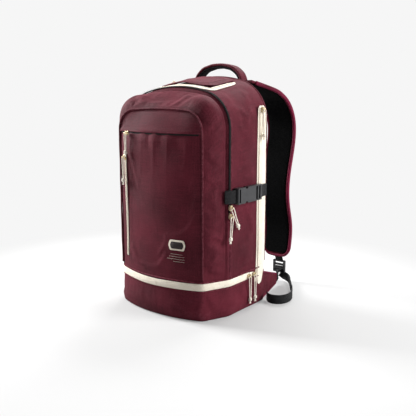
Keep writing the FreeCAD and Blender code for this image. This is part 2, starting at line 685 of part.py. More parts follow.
def buckle(side):
    """Side release buckle: the hollow female half, and the male half with its prong and two latch arms."""
    sign = "" if side == "right" else "-"
    middle = f"{sign}(bag_width / 2 + buckle_standoff + buckle_thick / 2)"
    low, high = "(strap_level - buckle_height / 2)", "(strap_level + buckle_height / 2)"
    half_socket, half_gap = "socket_height / 2", "socket_thick / 2"

    female = new_body(f"buckle_female_{side}")
    front, rear = "-female_front", "female_rear"
    notch_front, notch_rear = f"{rear} - notch_back - notch_half", f"{rear} - notch_back + notch_half"
    shape = [(front, low), (notch_front, low, "notch_radius", -1), (notch_rear, low), (rear, low),
             (rear, high), (notch_rear, high, "notch_radius", -1), (notch_front, high), (front, high)]
    slot = rectangle(f"{front} + 4", "strap_level - webbing_width / 2 - 0.5", f"{front} + 9",
                     "strap_level + webbing_width / 2 + 0.5")
    pad(female, outline(female, "YZ", middle, shape, slot), "buckle_thick", both_sides=True)
    socket = rectangle(f"{middle} - {half_gap}", f"strap_level - {half_socket}", f"{middle} + {half_gap}",
                       f"strap_level + {half_socket}")
    pocket(female, outline(female, "XZ", f"{rear} - socket_depth", socket), "socket_depth")

    male = new_body(f"buckle_male_{side}")
    start, end = "female_rear + 0.4", "male_rear"
    half_bar = "(webbing_width / 2 + 0.5)"
    bar_low, bar_high = f"strap_level - {half_bar}", f"strap_level + {half_bar}"
    frame = rectangle(start, low, end, high)
    slots = [rectangle(f"{end} - {far}", bar_low, f"{end} - {near}", bar_high)
             for near, far in ((5, 11), (16, 22))]
    pad(male, outline(male, "YZ", middle, frame, *slots), "buckle_thick - 2", both_sides=True)
    prong = rectangle("female_rear - socket_depth + 1", "strap_level - 3", f"{start} + 1", "strap_level + 3")
    pad(male, outline(male, "YZ", middle, prong), "socket_thick - 1", both_sides=True)

    arms = doc.addObject("Part::Compound", f"buckle_arms_{side}")
    arms.Label = f"buckle_arms_{side}"
    parts = []
    for name, turn in (("upper", "+"), ("lower", "-")):
        arm = doc.addObject("PartDesign::Body", f"latch_arm_{name}_{side}")
        tip, root = "female_rear - socket_depth + 2", "female_rear"
        near, far = f"(strap_level {turn} 4.5)", f"(strap_level {turn} 9)"
        bump = f"(strap_level {turn} (socket_height / 2 - 0.4))"
        arm_shape = [(tip, near), (root, near), (root, far), (f"{root} - 8", far), (f"{root} - 10", bump),
                     (f"{root} - 16", bump), (tip, far)]
        if turn == "-":
            arm_shape = arm_shape[::-1]
        pad(arm, outline(arm, "YZ", middle, arm_shape), "socket_thick - 1", both_sides=True)
        parts.append(arm)
    arms.Links = parts


def side_webbing(side):
    """The two ends of the compression strap, sewn to the bag before the front seam and at the rear edge."""
    width, thick = value("webbing_width"), value("webbing_thick")
    level = value("strap_level")
    plane = value("bag_width / 2 + buckle_standoff + buckle_thick / 2")
    slant = (value("front_depth") - value("seam_setback")) / value("(bag_width - pocket_width) / 2")
    up = Vector(0, 0, 1)

    def beside_gusset(y):
        """A point of the webbing's middle line where it lies on the slanted side of the front."""
        return value("bag_width / 2") + (y + value("seam_setback")) / slant + thick + value("gap"), y

    def strip(line):
        points = [Vector(x, y, level) for x, y in line]
        stations = []
        for n, point in enumerate(points):
            run = points[min(n + 1, len(points) - 1)] - points[max(n - 1, 0)]
            stations.append((point, up, run.cross(up)))
        return station_loft(stations, width, thick)

    front_end, rear_end = -value("female_front") - 0.4, value("male_rear") + 0.4
    sewn = [beside_gusset(-64), beside_gusset(-55), (plane - 5, -45), (plane - 1, front_end - 5),
            (plane, front_end)]
    add_shape("side_webbing_front", strip(sewn), side)
    edge = value("bag_width / 2 + tape_thick + 2 * gap") + thick / 2 + 0.2
    rear = [(plane, rear_end), (plane - 1, rear_end + 5), (edge + 0.4, 84), (edge, value("rear_depth") - 1)]
    add_shape("side_webbing_rear", strip(rear), side)


# ---------------------------------------------------------------- the whole bag

bottom_compartment_shell()
base_board()
compartment_floor()
main_shell()
frame_sheet()
laptop_sleeve()
back_foam_panel()
front_pouch()
front_sheet("pocket_panel", "wall", "0",
            rectangle(f"-{FAR / 2}", "base_height + gap", f"{FAR / 2}", "pocket_zip_low"))
front_sheet("zip_front_level", "2", "0",
            rectangle(f"-{FAR / 2}", "pocket_zip_low + gap", f"{FAR / 2}", "hem_height"))
front_sheet("front_yoke", "wall", "0",
            rectangle(f"-{FAR / 2}", "hem_height + gap", f"{FAR / 2}", "pocket_top + 20"))
front_sheet("zip_front_upright", "tape_thick - gap", "tape_thick",
            rectangle("-upright_zip_out", "upright_zip_low", "-upright_zip_in", "upright_zip_top"))
front_sheet("label_patch", "tape_thick - gap", "tape_thick",
            rectangle("label_left", "label_low", "label_right", "label_top"))
top_sheet("top_lid", "tape_thick + 3 * gap", "tape_thick + 3 * gap + lid_thick",
          rectangle("-lid_half", "-lid_front", "lid_half", "lid_rear"))
top_sheet("zip_top", "gap", "gap + tape_thick",
          [("-top_zip_out", "-top_zip_front"), ("top_zip_out", "-top_zip_front"),
           ("top_zip_out", "top_zip_rear"), ("top_zip_in", "top_zip_rear"), ("top_zip_in", "-top_zip_turn"),
           ("-top_zip_in", "-top_zip_turn"), ("-top_zip_in", "top_zip_rear"),
           ("-top_zip_out", "top_zip_rear")])
zip_arch()
zip_base()
zip_side()
sliders_and_pulls()
handle_layer("handle_pad", "0", "handle_pad_thick", "handle_width")
handle_layer("handle_lining", "handle_pad_thick", "handle_lining_thick", "handle_width - 6")
for bag_side in ("right", "left"):
    shoulder_strap(bag_side)
    buckle(bag_side)
    side_webbing(bag_side)

doc.recompute()
os.makedirs("parts", exist_ok=True)
inside_compound = {arm for o in doc.Objects if o.TypeId == "Part::Compound" for arm in o.Links}
nodes = [o for o in doc.Objects if o.TypeId in ("PartDesign::Body", "Part::Feature", "Part::Compound")
         and o not in inside_compound]
faults = [f"{o.Name} ({o.Label})" for o in doc.Objects
          if any(word in o.State for word in ("Invalid", "Error"))]
faults += [o.Label for o in nodes if o.Shape.isNull() or not o.Shape.isValid() or not o.Shape.Solids]
if faults:
    raise SystemExit(f"failed objects: {faults}")
if len({o.Label for o in nodes}) != len(nodes) or len(nodes) > 60:
    raise SystemExit("labels repeat, or there are too many nodes")
for node in nodes:
    node.Shape.exportStep(f"parts/{node.Label}.step")
box = Part.makeCompound([o.Shape for o in nodes]).BoundBox
corners = (box.XMin, box.YMin, box.ZMin, box.XMax, box.YMax, box.ZMax)
print(len(nodes), "nodes, box", [round(n, 1) for n in corners])
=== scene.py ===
import json
import math

import bmesh
import bpy
import numpy as np
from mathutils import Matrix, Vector


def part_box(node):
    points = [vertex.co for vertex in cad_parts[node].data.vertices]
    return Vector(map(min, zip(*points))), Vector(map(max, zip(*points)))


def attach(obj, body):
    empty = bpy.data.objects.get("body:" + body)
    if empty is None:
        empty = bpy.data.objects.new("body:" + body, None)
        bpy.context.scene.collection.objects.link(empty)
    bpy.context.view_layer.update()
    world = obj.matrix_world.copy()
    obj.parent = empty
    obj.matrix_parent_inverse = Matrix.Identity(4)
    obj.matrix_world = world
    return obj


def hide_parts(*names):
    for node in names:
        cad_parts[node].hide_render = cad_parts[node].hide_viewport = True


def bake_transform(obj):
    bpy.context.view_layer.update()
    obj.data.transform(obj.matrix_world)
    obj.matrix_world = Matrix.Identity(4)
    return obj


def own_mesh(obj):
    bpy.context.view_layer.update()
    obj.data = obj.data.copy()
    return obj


# The looks of a travel backpack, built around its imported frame. Lengths are in millimetres in the
# frame's axes (+Z up, front towards -Y) and become metres as each piece is made.

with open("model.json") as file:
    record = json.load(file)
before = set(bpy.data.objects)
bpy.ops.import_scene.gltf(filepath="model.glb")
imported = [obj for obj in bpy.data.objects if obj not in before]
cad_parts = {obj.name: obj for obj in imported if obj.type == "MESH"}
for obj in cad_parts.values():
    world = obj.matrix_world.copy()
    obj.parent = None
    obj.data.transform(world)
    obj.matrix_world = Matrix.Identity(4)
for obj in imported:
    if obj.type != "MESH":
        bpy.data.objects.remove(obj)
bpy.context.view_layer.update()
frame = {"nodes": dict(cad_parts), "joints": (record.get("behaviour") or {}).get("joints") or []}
MM = 0.001
THREAD = "thread"


def node_box(node):
    """Lowest and highest corner of a CAD node, in millimetres."""
    return [np.array(corner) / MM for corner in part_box(node)]


# ---------------------------------------------------------------- sizes that the frame gives

SHELL_LOW, SHELL_HIGH = node_box("main_shell")
HALF, SEAM_Y, REAR_Y, REAR_TOP = SHELL_HIGH[0], SHELL_LOW[1], SHELL_HIGH[1], SHELL_HIGH[2]
BASE_TOP = SHELL_LOW[2]
FACE_HALF = node_box("front_yoke")[1][0] + 0.3
FACE_TOP = node_box("front_yoke")[1][2] + 0.3
FACE_Y = -97.3
BAND_LOW, BAND_HIGH = node_box("zip_base")[0][2], node_box("zip_base")[1][2]
STRAP_LEVEL = (node_box("buckle_female_right")[0][2] + node_box("buckle_female_right")[1][2]) / 2
HEM = node_box("front_yoke")[0][2]
UPRIGHT_X = (node_box("zip_front_upright")[0][0] + node_box("zip_front_upright")[1][0]) / 2
LABEL_X = (node_box("label_patch")[0][0] + node_box("label_patch")[1][0]) / 2
LABEL_Z = (node_box("label_patch")[0][2] + node_box("label_patch")[1][2]) / 2

# the rest of the bag's outline
SEAM_TOP = 486.0
ARCH_CORNER, SEAM_CORNER, CROWN = 90.0, 78.0, math.radians(15)
FACE_CORNER, FACE_CROWN = 45.0, math.radians(4)
BULGE_RADIUS, BULGE_DROP = 297.0, 90.0
BULGE_AXIS = math.sqrt(BULGE_RADIUS ** 2 - FACE_HALF ** 2) + FACE_Y


# ---------------------------------------------------------------- camera, lights and floor

# the camera, in metres and millimetres of focal length
CAMERA_LENS, CAMERA_PLACE, CAMERA_AIM = 49.33, (0.8213, -0.9816, 0.4571), (0.0338, 0.0264, 0.2165)
# the floor: its reach, grey, glow to the eye, far brightness, and where near turns into far (m)
FLOOR_REACH, FLOOR_GREY, FLOOR_GLOW, PALE, NEAR, FAR = 40.0, 0.36, 0.25, 0.922, 0.30, 0.80
WORLD_LIGHT = 0.24


def add_camera():
    data = bpy.data.cameras.new("camera")
    data.lens = CAMERA_LENS
    camera = bpy.data.objects.new("camera", data)
    bpy.context.scene.collection.objects.link(camera)
    camera.location = CAMERA_PLACE
    aim = Vector(CAMERA_AIM)
    camera.rotation_euler = (aim - camera.location).to_track_quat("-Z", "Y").to_euler()
    bpy.context.scene.camera = camera


def add_light(name, place, aim, size, power):
    data = bpy.data.lights.new(name, "AREA")
    data.shape = "RECTANGLE"
    data.size, data.size_y = size
    data.energy = power
    light = bpy.data.objects.new(name, data)
    bpy.context.scene.collection.objects.link(light)
    light.location = place
    light.rotation_euler = (Vector(aim) - Vector(place)).to_track_quat("-Z", "Y").to_euler()


class Graph:
    """Short calls for building one material's node tree."""

    def __init__(self, name):
        self.material = bpy.data.materials.new(name)
        self.material.use_nodes = True
        self.tree = self.material.node_tree
        self.shader = self.tree.nodes["Principled BSDF"]

    def feed(self, socket, value):
        if isinstance(value, bpy.types.NodeSocket):
            self.tree.links.new(value, socket)
        else:
            socket.default_value = value

    def node(self, kind, inputs=(), **settings):
        made = self.tree.nodes.new("ShaderNode" + kind)
        for key, value in settings.items():
            setattr(made, key, value)
        for key, value in dict(inputs).items():
            self.feed(made.inputs[key], value)
        return made

    def math(self, operation, a, b=0.0):
        return self.node("Math", {0: a, 1: b}, operation=operation).outputs[0]

    def place(self):
        return self.node("TexCoord").outputs["Object"]

    def thread(self):
        return self.node("UVMap", uv_map=THREAD).outputs[0]

    def noise(self, vector, scale, detail=3.0, stretch=(1, 1, 1)):
        scaled = self.node("Mapping", {"Vector": vector, "Scale": stretch}).outputs[0]
        return self.node("TexNoise", {"Vector": scaled, "Scale": scale, "Detail": detail}).outputs[0]

    def ramp(self, factor, *stops):
        made = self.node("ValToRGB", {0: factor})
        elements = made.color_ramp.elements
        while len(elements) < len(stops):
            elements.new(0.5)
        for element, (place, colour) in zip(elements, stops):
            element.position = place
            element.color = (*colour, 1)
        return made.outputs[0]

    def mix(self, factor, a, b, blend="MIX"):
        made = self.node("Mix", data_type="RGBA", blend_type=blend)
        for key, value in ((0, factor), (6, a), (7, b)):
            self.feed(made.inputs[key], (*value, 1) if isinstance(value,
                                                                  tuple) and len(value) == 3 else value)
        return made.outputs[2]

    def bump(self, height, strength, distance, normal=None):
        inputs = {"Height": height, "Strength": strength, "Distance": distance}
        if normal is not None:
            inputs["Normal"] = normal
        return self.node("Bump", inputs).outputs[0]

    def remap(self, value, new_low, new_high, low=0.3, high=0.7):
        return self.node("MapRange", {0: value, 1: low, 2: high, 3: new_low, 4: new_high}).outputs[0]

    def total(self, a, a_share, b, b_share):
        return self.math("ADD", self.math("MULTIPLY", a, a_share), self.math("MULTIPLY", b, b_share))

    def finish(self, colour, roughness, normal, **constants):
        self.feed(self.shader.inputs["Base Color"], colour)
        self.feed(self.shader.inputs["Roughness"], roughness)
        self.feed(self.shader.inputs["Normal"], normal)
        for key, value in constants.items():
            self.shader.inputs[key.replace("_", " ")].default_value = value
        return self.material


def add_world():
    """Pale surroundings: bright to the eye, dimmer as a light."""
    world = bpy.data.worlds.new("studio")
    bpy.context.scene.world = world
    world.use_nodes = True
    tree = world.node_tree
    tree.nodes.clear()
    seen, light = (tree.nodes.new("ShaderNodeBackground") for _ in range(2))
    seen.inputs["Color"].default_value = (PALE, PALE, PALE, 1)
    light.inputs["Color"].default_value = (1, 1, 1, 1)
    light.inputs["Strength"].default_value = WORLD_LIGHT
    pick = tree.nodes.new("ShaderNodeMixShader")
    path = tree.nodes.new("ShaderNodeLightPath")
    out = tree.nodes.new("ShaderNodeOutputWorld")
    tree.links.new(path.outputs["Is Camera Ray"], pick.inputs[0])
    tree.links.new(light.outputs[0], pick.inputs[1])
    tree.links.new(seen.outputs[0], pick.inputs[2])
    tree.links.new(pick.outputs[0], out.inputs[0])


def add_floor():
    """A plain pale floor that shows the contact shadow and fades into the surroundings."""
    mesh = bpy.data.meshes.new("floor")
    reach = FLOOR_REACH
    mesh.from_pydata([(-reach, -reach, 0), (reach, -reach, 0), (reach, reach, 0), (-reach, reach, 0)], [],
                     [(0, 1, 2, 3)])
    floor = bpy.data.objects.new("floor", mesh)
    bpy.context.scene.collection.objects.link(floor)
    material = bpy.data.materials.new("floor")
    material.use_nodes = True
    tree = material.node_tree
    tree.nodes.clear()
    matt = tree.nodes.new("ShaderNodeBsdfDiffuse")
    matt.inputs["Color"].default_value = (FLOOR_GREY, FLOOR_GREY, FLOOR_GREY, 1)
    near, far = (tree.nodes.new("ShaderNodeEmission") for _ in range(2))
    for glow, strength in ((near, FLOOR_GLOW), (far, PALE)):
        glow.inputs["Color"].default_value = (1, 1, 1, 1)
        glow.inputs["Strength"].default_value = strength
    both = tree.nodes.new("ShaderNodeAddShader")
    pick = tree.nodes.new("ShaderNodeMixShader")
    place = tree.nodes.new("ShaderNodeTexCoord")
    path = tree.nodes.new("ShaderNodeLightPath")
    seen = tree.nodes.new("ShaderNodeMath")
    seen.operation = "MULTIPLY"
    seen.inputs[1].default_value = FLOOR_GLOW
    tree.links.new(path.outputs["Is Camera Ray"], seen.inputs[0])
    tree.links.new(seen.outputs[0], near.inputs["Strength"])
    away = tree.nodes.new("ShaderNodeVectorMath")
    away.operation = "LENGTH"
    share = tree.nodes.new("ShaderNodeMapRange")
    share.interpolation_type = "SMOOTHSTEP"
    share.inputs["From Min"].default_value, share.inputs["From Max"].default_value = NEAR, FAR
    out = tree.nodes.new("ShaderNodeOutputMaterial")
    tree.links.new(place.outputs["Object"], away.inputs[0])
    tree.links.new(away.outputs["Value"], share.inputs[0])
    tree.links.new(matt.outputs[0], both.inputs[0])
    tree.links.new(near.outputs[0], both.inputs[1])
    tree.links.new(share.outputs[0], pick.inputs[0])
    tree.links.new(both.outputs[0], pick.inputs[1])
    tree.links.new(far.outputs[0], pick.inputs[2])
    tree.links.new(pick.outputs[0], out.inputs[0])
    mesh.materials.append(material)


add_camera()
add_world()
add_floor()
add_light("left_light", (-2.4, -0.5, 1.5), (0, 0, 0.3), (0.9, 1.8), 205)
add_light("right_light", (2.5, 1.05, 1.3), (0, 0, 0.25), (1.1, 1.8), 105)
add_light("top_light", (-0.3, 1.5, 2.2), (0, 0, 0.3), (1.4, 1.2), 80)
bpy.context.scene.view_settings.view_transform = "Standard"


# ---------------------------------------------------------------- materials

def weave(g, pitch):
    """Height of a plain weave over the thread coordinates, and which set of threads is on top."""
    scaled = g.node("Mapping", {"Vector": g.thread(), "Scale": (1 / pitch, 1 / pitch, 1)}).outputs[0]
    parts = g.node("SeparateXYZ", {0: scaled})
    u, v = parts.outputs[0], parts.outputs[1]
    cell = g.math("ADD", g.math("FLOOR", u), g.math("FLOOR", v))
    over = g.math("ABSOLUTE", g.math("MODULO", cell, 2.0))
    ridge_u = g.math("ABSOLUTE", g.math("SINE", g.math("MULTIPLY", u, math.pi)))
    ridge_v = g.math("ABSOLUTE", g.math("SINE", g.math("MULTIPLY", v, math.pi)))
    picked = g.math("ADD", g.math("MULTIPLY", ridge_u, over),
                    g.math("MULTIPLY", ridge_v, g.math("SUBTRACT", 1.0, over)))
    return picked, over


def fabric(name, dark, light, faded, pitch=0.0011, roughness=(0.66, 0.86), depth=0.4, sheen=0.02,
           tint=(0.9, 0.45, 0.55)):
    """Coarse woven polyester: threads, slubs, cloudy tone, soft creases and faded ridges."""
    g = Graph(name)
    thread, place = g.thread(), g.place()
    height, over = weave(g, pitch)
    cloud = g.noise(place, 11.0, 4.0)
    down = g.noise(thread, 1.0, 2.0, (900, 22, 1))
    across = g.noise(thread, 1.0, 2.0, (22, 900, 1))
    slub = g.mix(over, down, across)
    fleck = g.noise(thread, 1.0, 2.0, (620, 420, 1))
    tone = g.math("ADD", g.math("MULTIPLY", cloud, 0.34),
                  g.total(slub, 0.36, fleck, 0.30))
    colour = g.ramp(tone, (0.42, dark), (0.57, light))
    # painted shade: the colour is darkened in the low hollows between the threads
    painted_pit_shade = g.ramp(height, (0.0, (0.62, 0.62, 0.62)), (0.55, (1, 1, 1)))
    colour = g.mix(0.55, colour, painted_pit_shade, "MULTIPLY")
    ridge = g.ramp(g.node("NewGeometry").outputs["Pointiness"], (0.505, (0, 0, 0)), (0.56, (1, 1, 1)))
    scuff = g.mix(1.0, ridge, g.ramp(g.noise(place, 160.0), (0.4, (0, 0, 0)), (0.62, (1, 1, 1))),
                  "MULTIPLY")
    colour = g.mix(g.math("MULTIPLY", scuff, 0.5), colour, faded)
    rough = g.node("MapRange", {0: g.math("ADD", cloud, g.math("MULTIPLY", scuff, 0.2)), 1: 0.3, 2: 0.8,
                                3: roughness[0], 4: roughness[1]}).outputs[0]
    creases = g.bump(g.noise(place, 34.0, 5.0), 0.28, 0.004)
    normal = g.bump(height, depth, pitch * 0.35, creases)
    return g.finish(colour, rough, normal, Sheen_Weight=sheen, Sheen_Roughness=0.45,
                    Sheen_Tint=(*tint, 1), Specular_IOR_Level=0.09)


def webbing(name, dark, light, rib=0.0016):
    """Flat woven webbing with a herringbone of raised ribs."""
    g = Graph(name)
    parts = g.node("SeparateXYZ", {0: g.thread()})
    across, along = parts.outputs[0], parts.outputs[1]
    zigzag = g.math("PINGPONG", across, 0.0035)
    phase = g.math("ADD", g.math("MULTIPLY", along, 2 * math.pi / rib),
                   g.math("MULTIPLY", zigzag, 2 * math.pi / rib))
    ribs = g.math("ABSOLUTE", g.math("SINE", phase))
    fuzz = g.noise(g.place(), 900.0, 2.0)
    worn = g.noise(g.place(), 45.0, 4.0)
    tone = g.total(ribs, 0.55, worn, 0.6)
    colour = g.ramp(tone, (0.25, dark), (0.95, light))
    rough = g.remap(worn, 0.55, 0.8)
    normal = g.bump(ribs, 0.7, 0.0004, g.bump(fuzz, 0.25, 0.0003))
    return g.finish(colour, rough, normal, Sheen_Weight=0.04, Sheen_Roughness=0.4, Specular_IOR_Level=0.2)


def spacer_mesh(name, dark, light):
    """Spacer mesh: rows of small open cells over a dark foam, with painted shade darkening the inside of each
    cell.
    """
    g = Graph(name)
    scaled = g.node("Mapping", {"Vector": g.thread(), "Scale": (300, 210, 1)}).outputs[0]
    cells = g.node("TexVoronoi", {"Vector": scaled, "Scale": 1.0, "Randomness": 0.35}).outputs["Distance"]
    cell_hollows_and_shade = g.ramp(cells, (0.12, (0, 0, 0)), (0.42, (1, 1, 1)))
    knit = g.noise(g.place(), 1100.0, 2.0)
    shade = g.noise(g.place(), 25.0, 3.0)
    colour = g.ramp(g.total(knit, 0.4, shade, 0.6),
                    (0.35, dark), (0.7, light))
    # painted shade: the colour goes to black inside each open cell
    colour = g.mix(1.0, colour, cell_hollows_and_shade, "MULTIPLY")
    rough = g.remap(shade, 0.78, 0.95)
    normal = g.bump(cell_hollows_and_shade, 0.9, 0.0012, g.bump(knit, 0.3, 0.0003))
    return g.finish(colour, rough, normal, Sheen_Weight=0.01, Specular_IOR_Level=0.03)


def tape(name, dark, light, grime):
    """Zip tape: a fine twill with a slightly soiled tone."""
    g = Graph(name)
    parts = g.node("SeparateXYZ", {0: g.thread()})
    phase = g.math("MULTIPLY", g.math("ADD", parts.outputs[0], parts.outputs[1]), 2 * math.pi / 0.0012)
    twill = g.math("ABSOLUTE", g.math("SINE", phase))
    cloud = g.noise(g.place(), 38.0, 5.0)
    slub = g.noise(g.thread(), 1.0, 2.0, (500, 60, 1))
    tone = g.math("ADD", g.math("MULTIPLY", twill, 0.3),
                  g.total(cloud, 0.4, slub, 0.3))
    colour = g.ramp(tone, (0.25, dark), (0.75, light))
    soil = g.ramp(g.noise(g.place(), 90.0, 6.0), (0.56, (0, 0, 0)), (0.75, (1, 1, 1)))
    colour = g.mix(g.math("MULTIPLY", soil, 0.45), colour, grime)
    rough = g.remap(cloud, 0.68, 0.88)
    normal = g.bump(twill, 0.45, 0.0003, g.bump(cloud, 0.2, 0.002))
    return g.finish(colour, rough, normal, Sheen_Weight=0.05, Specular_IOR_Level=0.18)


def braid(name, dark, light):
    """A braided cord: crossing diagonal strands round its length."""
    g = Graph(name)
    parts = g.node("SeparateXYZ", {0: g.place()})
    round_cord = g.math("MULTIPLY", g.math("ADD", parts.outputs[0], parts.outputs[1]), 1500.0)
    length = g.math("MULTIPLY", parts.outputs[2], 2600.0)
    strands = g.math("MULTIPLY", g.math("SINE", g.math("ADD", round_cord, length)),
                     g.math("SINE", g.math("SUBTRACT", round_cord, length)))
    strands = g.math("ABSOLUTE", strands)
    fuzz = g.noise(g.place(), 700.0, 3.0)
    soil = g.noise(g.place(), 70.0, 4.0)
    tone = g.total(strands, 0.35, soil, 0.65)
    colour = g.ramp(tone, (0.2, dark), (0.7, light))
    normal = g.bump(strands, 0.6, 0.0004, g.bump(fuzz, 0.3, 0.0003))
    rough = g.remap(soil, 0.7, 0.9)
    return g.finish(colour, rough, normal, Sheen_Weight=0.2, Specular_IOR_Level=0.25)


def plastic(name, dark, light):
    """Moulded acetal with a fine spark-eroded grain, worn smoother along its edges, which are also painted
    lighter as a highlight.
    """
    g = Graph(name)
    grain = g.noise(g.place(), 1400.0, 3.0)
    cloud = g.noise(g.place(), 60.0, 4.0)
    # convex edges: painted lighter towards the pale tone as a highlight, and worn smoother in roughness
    edge_highlight_and_wear = g.ramp(g.node("NewGeometry").outputs["Pointiness"], (0.51, (0, 0, 0)), (0.6, (1, 1, 1)))
    colour = g.mix(g.math("MULTIPLY", edge_highlight_and_wear, 0.5), g.ramp(cloud, (0.3, dark), (0.7, light)), light)
    rough = g.node("MapRange", {0: g.math("SUBTRACT", cloud, g.math("MULTIPLY", edge_highlight_and_wear, 0.3)), 1: 0.2,
                                2: 0.8,
                                3: 0.3, 4: 0.5}).outputs[0]
    return g.finish(colour, rough, g.bump(grain, 0.25, 0.0002), Specular_IOR_Level=0.4)


def metal(name, dark, light):
    """Plated zinc with fine scratches and a cloudy tone."""
    g = Graph(name)
    scratches = g.noise(g.place(), 1.0, 4.0, (2400, 300, 900))
    cloud = g.noise(g.place(), 220.0, 4.0)
    colour = g.ramp(g.total(scratches, 0.5, cloud, 0.5),
                    (0.3, dark), (0.7, light))
    rough = g.remap(scratches, 0.24, 0.46)
    return g.finish(colour, rough, g.bump(scratches, 0.2, 0.0002), Metallic=1.0)


def board(name, dark, light, scale=260.0):
    """Stiff sheet: pressed fibre or plastic seen only inside the bag."""
    g = Graph(name)
    fibre = g.noise(g.place(), scale, 6.0)
    colour = g.ramp(fibre, (0.3, dark), (0.7, light))
    rough = g.remap(fibre, 0.55, 0.8)
    return g.finish(colour, rough, g.bump(fibre, 0.3, 0.0004), Specular_IOR_Level=0.3)


BURGUNDY = fabric("burgundy_fabric", (0.052, 0.0062, 0.0115), (0.122, 0.0165, 0.0285), (0.22, 0.055, 0.078))
CRIMSON = fabric("crimson_binding", (0.085, 0.002, 0.016), (0.155, 0.006, 0.031), (0.26, 0.04, 0.08),
                 0.0008,
                 (0.5, 0.7), 0.3, 0.12, (1.0, 0.3, 0.5))
LINING = fabric("lining_fabric", (0.003, 0.003, 0.0035), (0.010, 0.010, 0.011), (0.03, 0.03, 0.03), 0.0007,
                (0.85, 0.97), 0.3, 0.0, (0.6, 0.6, 0.6))
THREADS = fabric("sewing_thread", (0.06, 0.009, 0.016), (0.12, 0.022, 0.033), (0.2, 0.06, 0.08), 0.0004)
MESH = spacer_mesh("black_spacer_mesh", (0.0004, 0.0004, 0.0005), (0.0028, 0.0028, 0.0032))
BLACK_WEB = webbing("black_webbing", (0.0018, 0.0018, 0.002), (0.013, 0.013, 0.0145))
CREAM_TAPE = tape("cream_tape", (0.70, 0.62, 0.50), (0.90, 0.84, 0.73), (0.56, 0.47, 0.37))
BLACK_TAPE = tape("black_tape", (0.0012, 0.0012, 0.0012), (0.006, 0.0055, 0.006), (0.010, 0.010, 0.010))
CREAM_CORD = braid("cream_cord", (0.66, 0.58, 0.47), (0.95, 0.90, 0.81))
METAL = metal("brass_plate", (0.50, 0.39, 0.22), (0.88, 0.76, 0.52))
ACETAL = plastic("black_acetal", (0.006, 0.006, 0.0065), (0.034, 0.034, 0.037))
STIFF = board("stiffener", (0.02, 0.02, 0.022), (0.07, 0.07, 0.075))
PIPING = fabric("burgundy_piping", (0.055, 0.0075, 0.013), (0.115, 0.018, 0.029), (0.2, 0.06, 0.08), 0.0009)
SLEEVE = board("sleeve_lining", (0.008, 0.008, 0.009), (0.026, 0.026, 0.030), 700.0)
LABEL = tape("woven_label", (0.70, 0.62, 0.50), (0.88, 0.82, 0.70), (0.55, 0.46, 0.36))
COIL = tape("zip_coil", (0.34, 0.29, 0.22), (0.58, 0.51, 0.42), (0.30, 0.24, 0.18))
LABEL_DARK = tape("woven_label_dark", (0.016, 0.012, 0.012), (0.040, 0.030, 0.030), (0.07, 0.05, 0.05))


# ---------------------------------------------------------------- shapes: (points, faces, thread coordinates)

def unit(vectors):
    return vectors / np.maximum(np.linalg.norm(vectors, axis=-1, keepdims=True), 1e-9)


def grid(points, wrap=False, keep=None, out_from=None):
    """A net of points, rows by columns, whose faces turn away from the point out_from."""
    rows, cols = points.shape[:2]
    index = np.arange(rows * cols).reshape(rows, cols)
    net = points
    if wrap:
        index = np.concatenate([index, index[:, :1]], axis=1)
        net = np.concatenate([points, points[:, :1]], axis=1)
    u = np.zeros(net.shape[:2])
    v = np.zeros(net.shape[:2])
    u[:, 1:] = np.cumsum(np.linalg.norm(np.diff(net, axis=1), axis=-1), axis=1)
    v[1:] = np.cumsum(np.linalg.norm(np.diff(net, axis=0), axis=-1), axis=0)
    u -= u[:, -1:] / 2
    thread = np.stack([u, v], -1) * MM
    corners = (slice(None, -1), slice(None, -1)), (slice(None, -1), slice(1, None)), \
        (slice(1, None), slice(1, None)), (slice(1, None), slice(None, -1))
    faces = np.stack([index[c] for c in corners], -1).reshape(-1, 4)
    loops = np.stack([thread[c] for c in corners], -2).reshape(-1, 4, 2)
    if keep is not None:
        faces, loops = faces[keep.ravel()], loops[keep.ravel()]
    flat = points.reshape(-1, 3)
    if out_from is not None:
        quads = flat[faces]
        normals = np.cross(quads[:, 2] - quads[:, 0], quads[:, 3] - quads[:, 1])
        if (normals * (quads.mean(1) - np.array(out_from))).sum() < 0:
            faces, loops = faces[:, ::-1], loops[:, ::-1]
    return flat, faces.tolist(), loops.reshape(-1, 2)


def capped(shape, *rings):
    """The shape with each ring of its points closed by one flat face."""
    points, faces, thread = shape
    extra = [points[ring][:, [0, 1]] * MM for ring in rings]
    return points, faces + [list(map(int, ring)) for ring in rings], np.concatenate([thread, *extra])


def merge(*shapes):
    points, faces, thread, start = [], [], [], 0
    for p, f, t in shapes:
        points.append(p)
        faces += [[i + start for i in face] for face in f]
        thread.append(t)
        start += len(p)
    return np.concatenate(points), faces, np.concatenate(thread)


def along_line(line, normal):
    """Tangents, normals and across directions at the points of a line."""
    tangent = unit(np.gradient(line, axis=0))
    normal = np.broadcast_to(np.array(normal, float), line.shape)
    normal = unit(normal - (normal * tangent).sum(-1, keepdims=True) * tangent)
    return tangent, normal, np.cross(normal, tangent)


def sweep(line, normal, profile, closed=False):
    """A closed profile of (across, out) points, one or one for each station, carried along a line."""
    _, up, across = along_line(line, normal)
    profile = np.broadcast_to(profile, (len(line), *np.shape(profile)[-2:]))
    net = line[:, None] + across[:, None] * profile[..., :1] + up[:, None] * profile[..., 1:]
    if closed:
        net = np.concatenate([net, net[:1]])
    count, around = net.shape[:2]
    shape = grid(net, wrap=True)
    if closed:
        return shape
    first = np.arange(around)
    return capped(shape, first[::-1], (count - 1) * around + first)


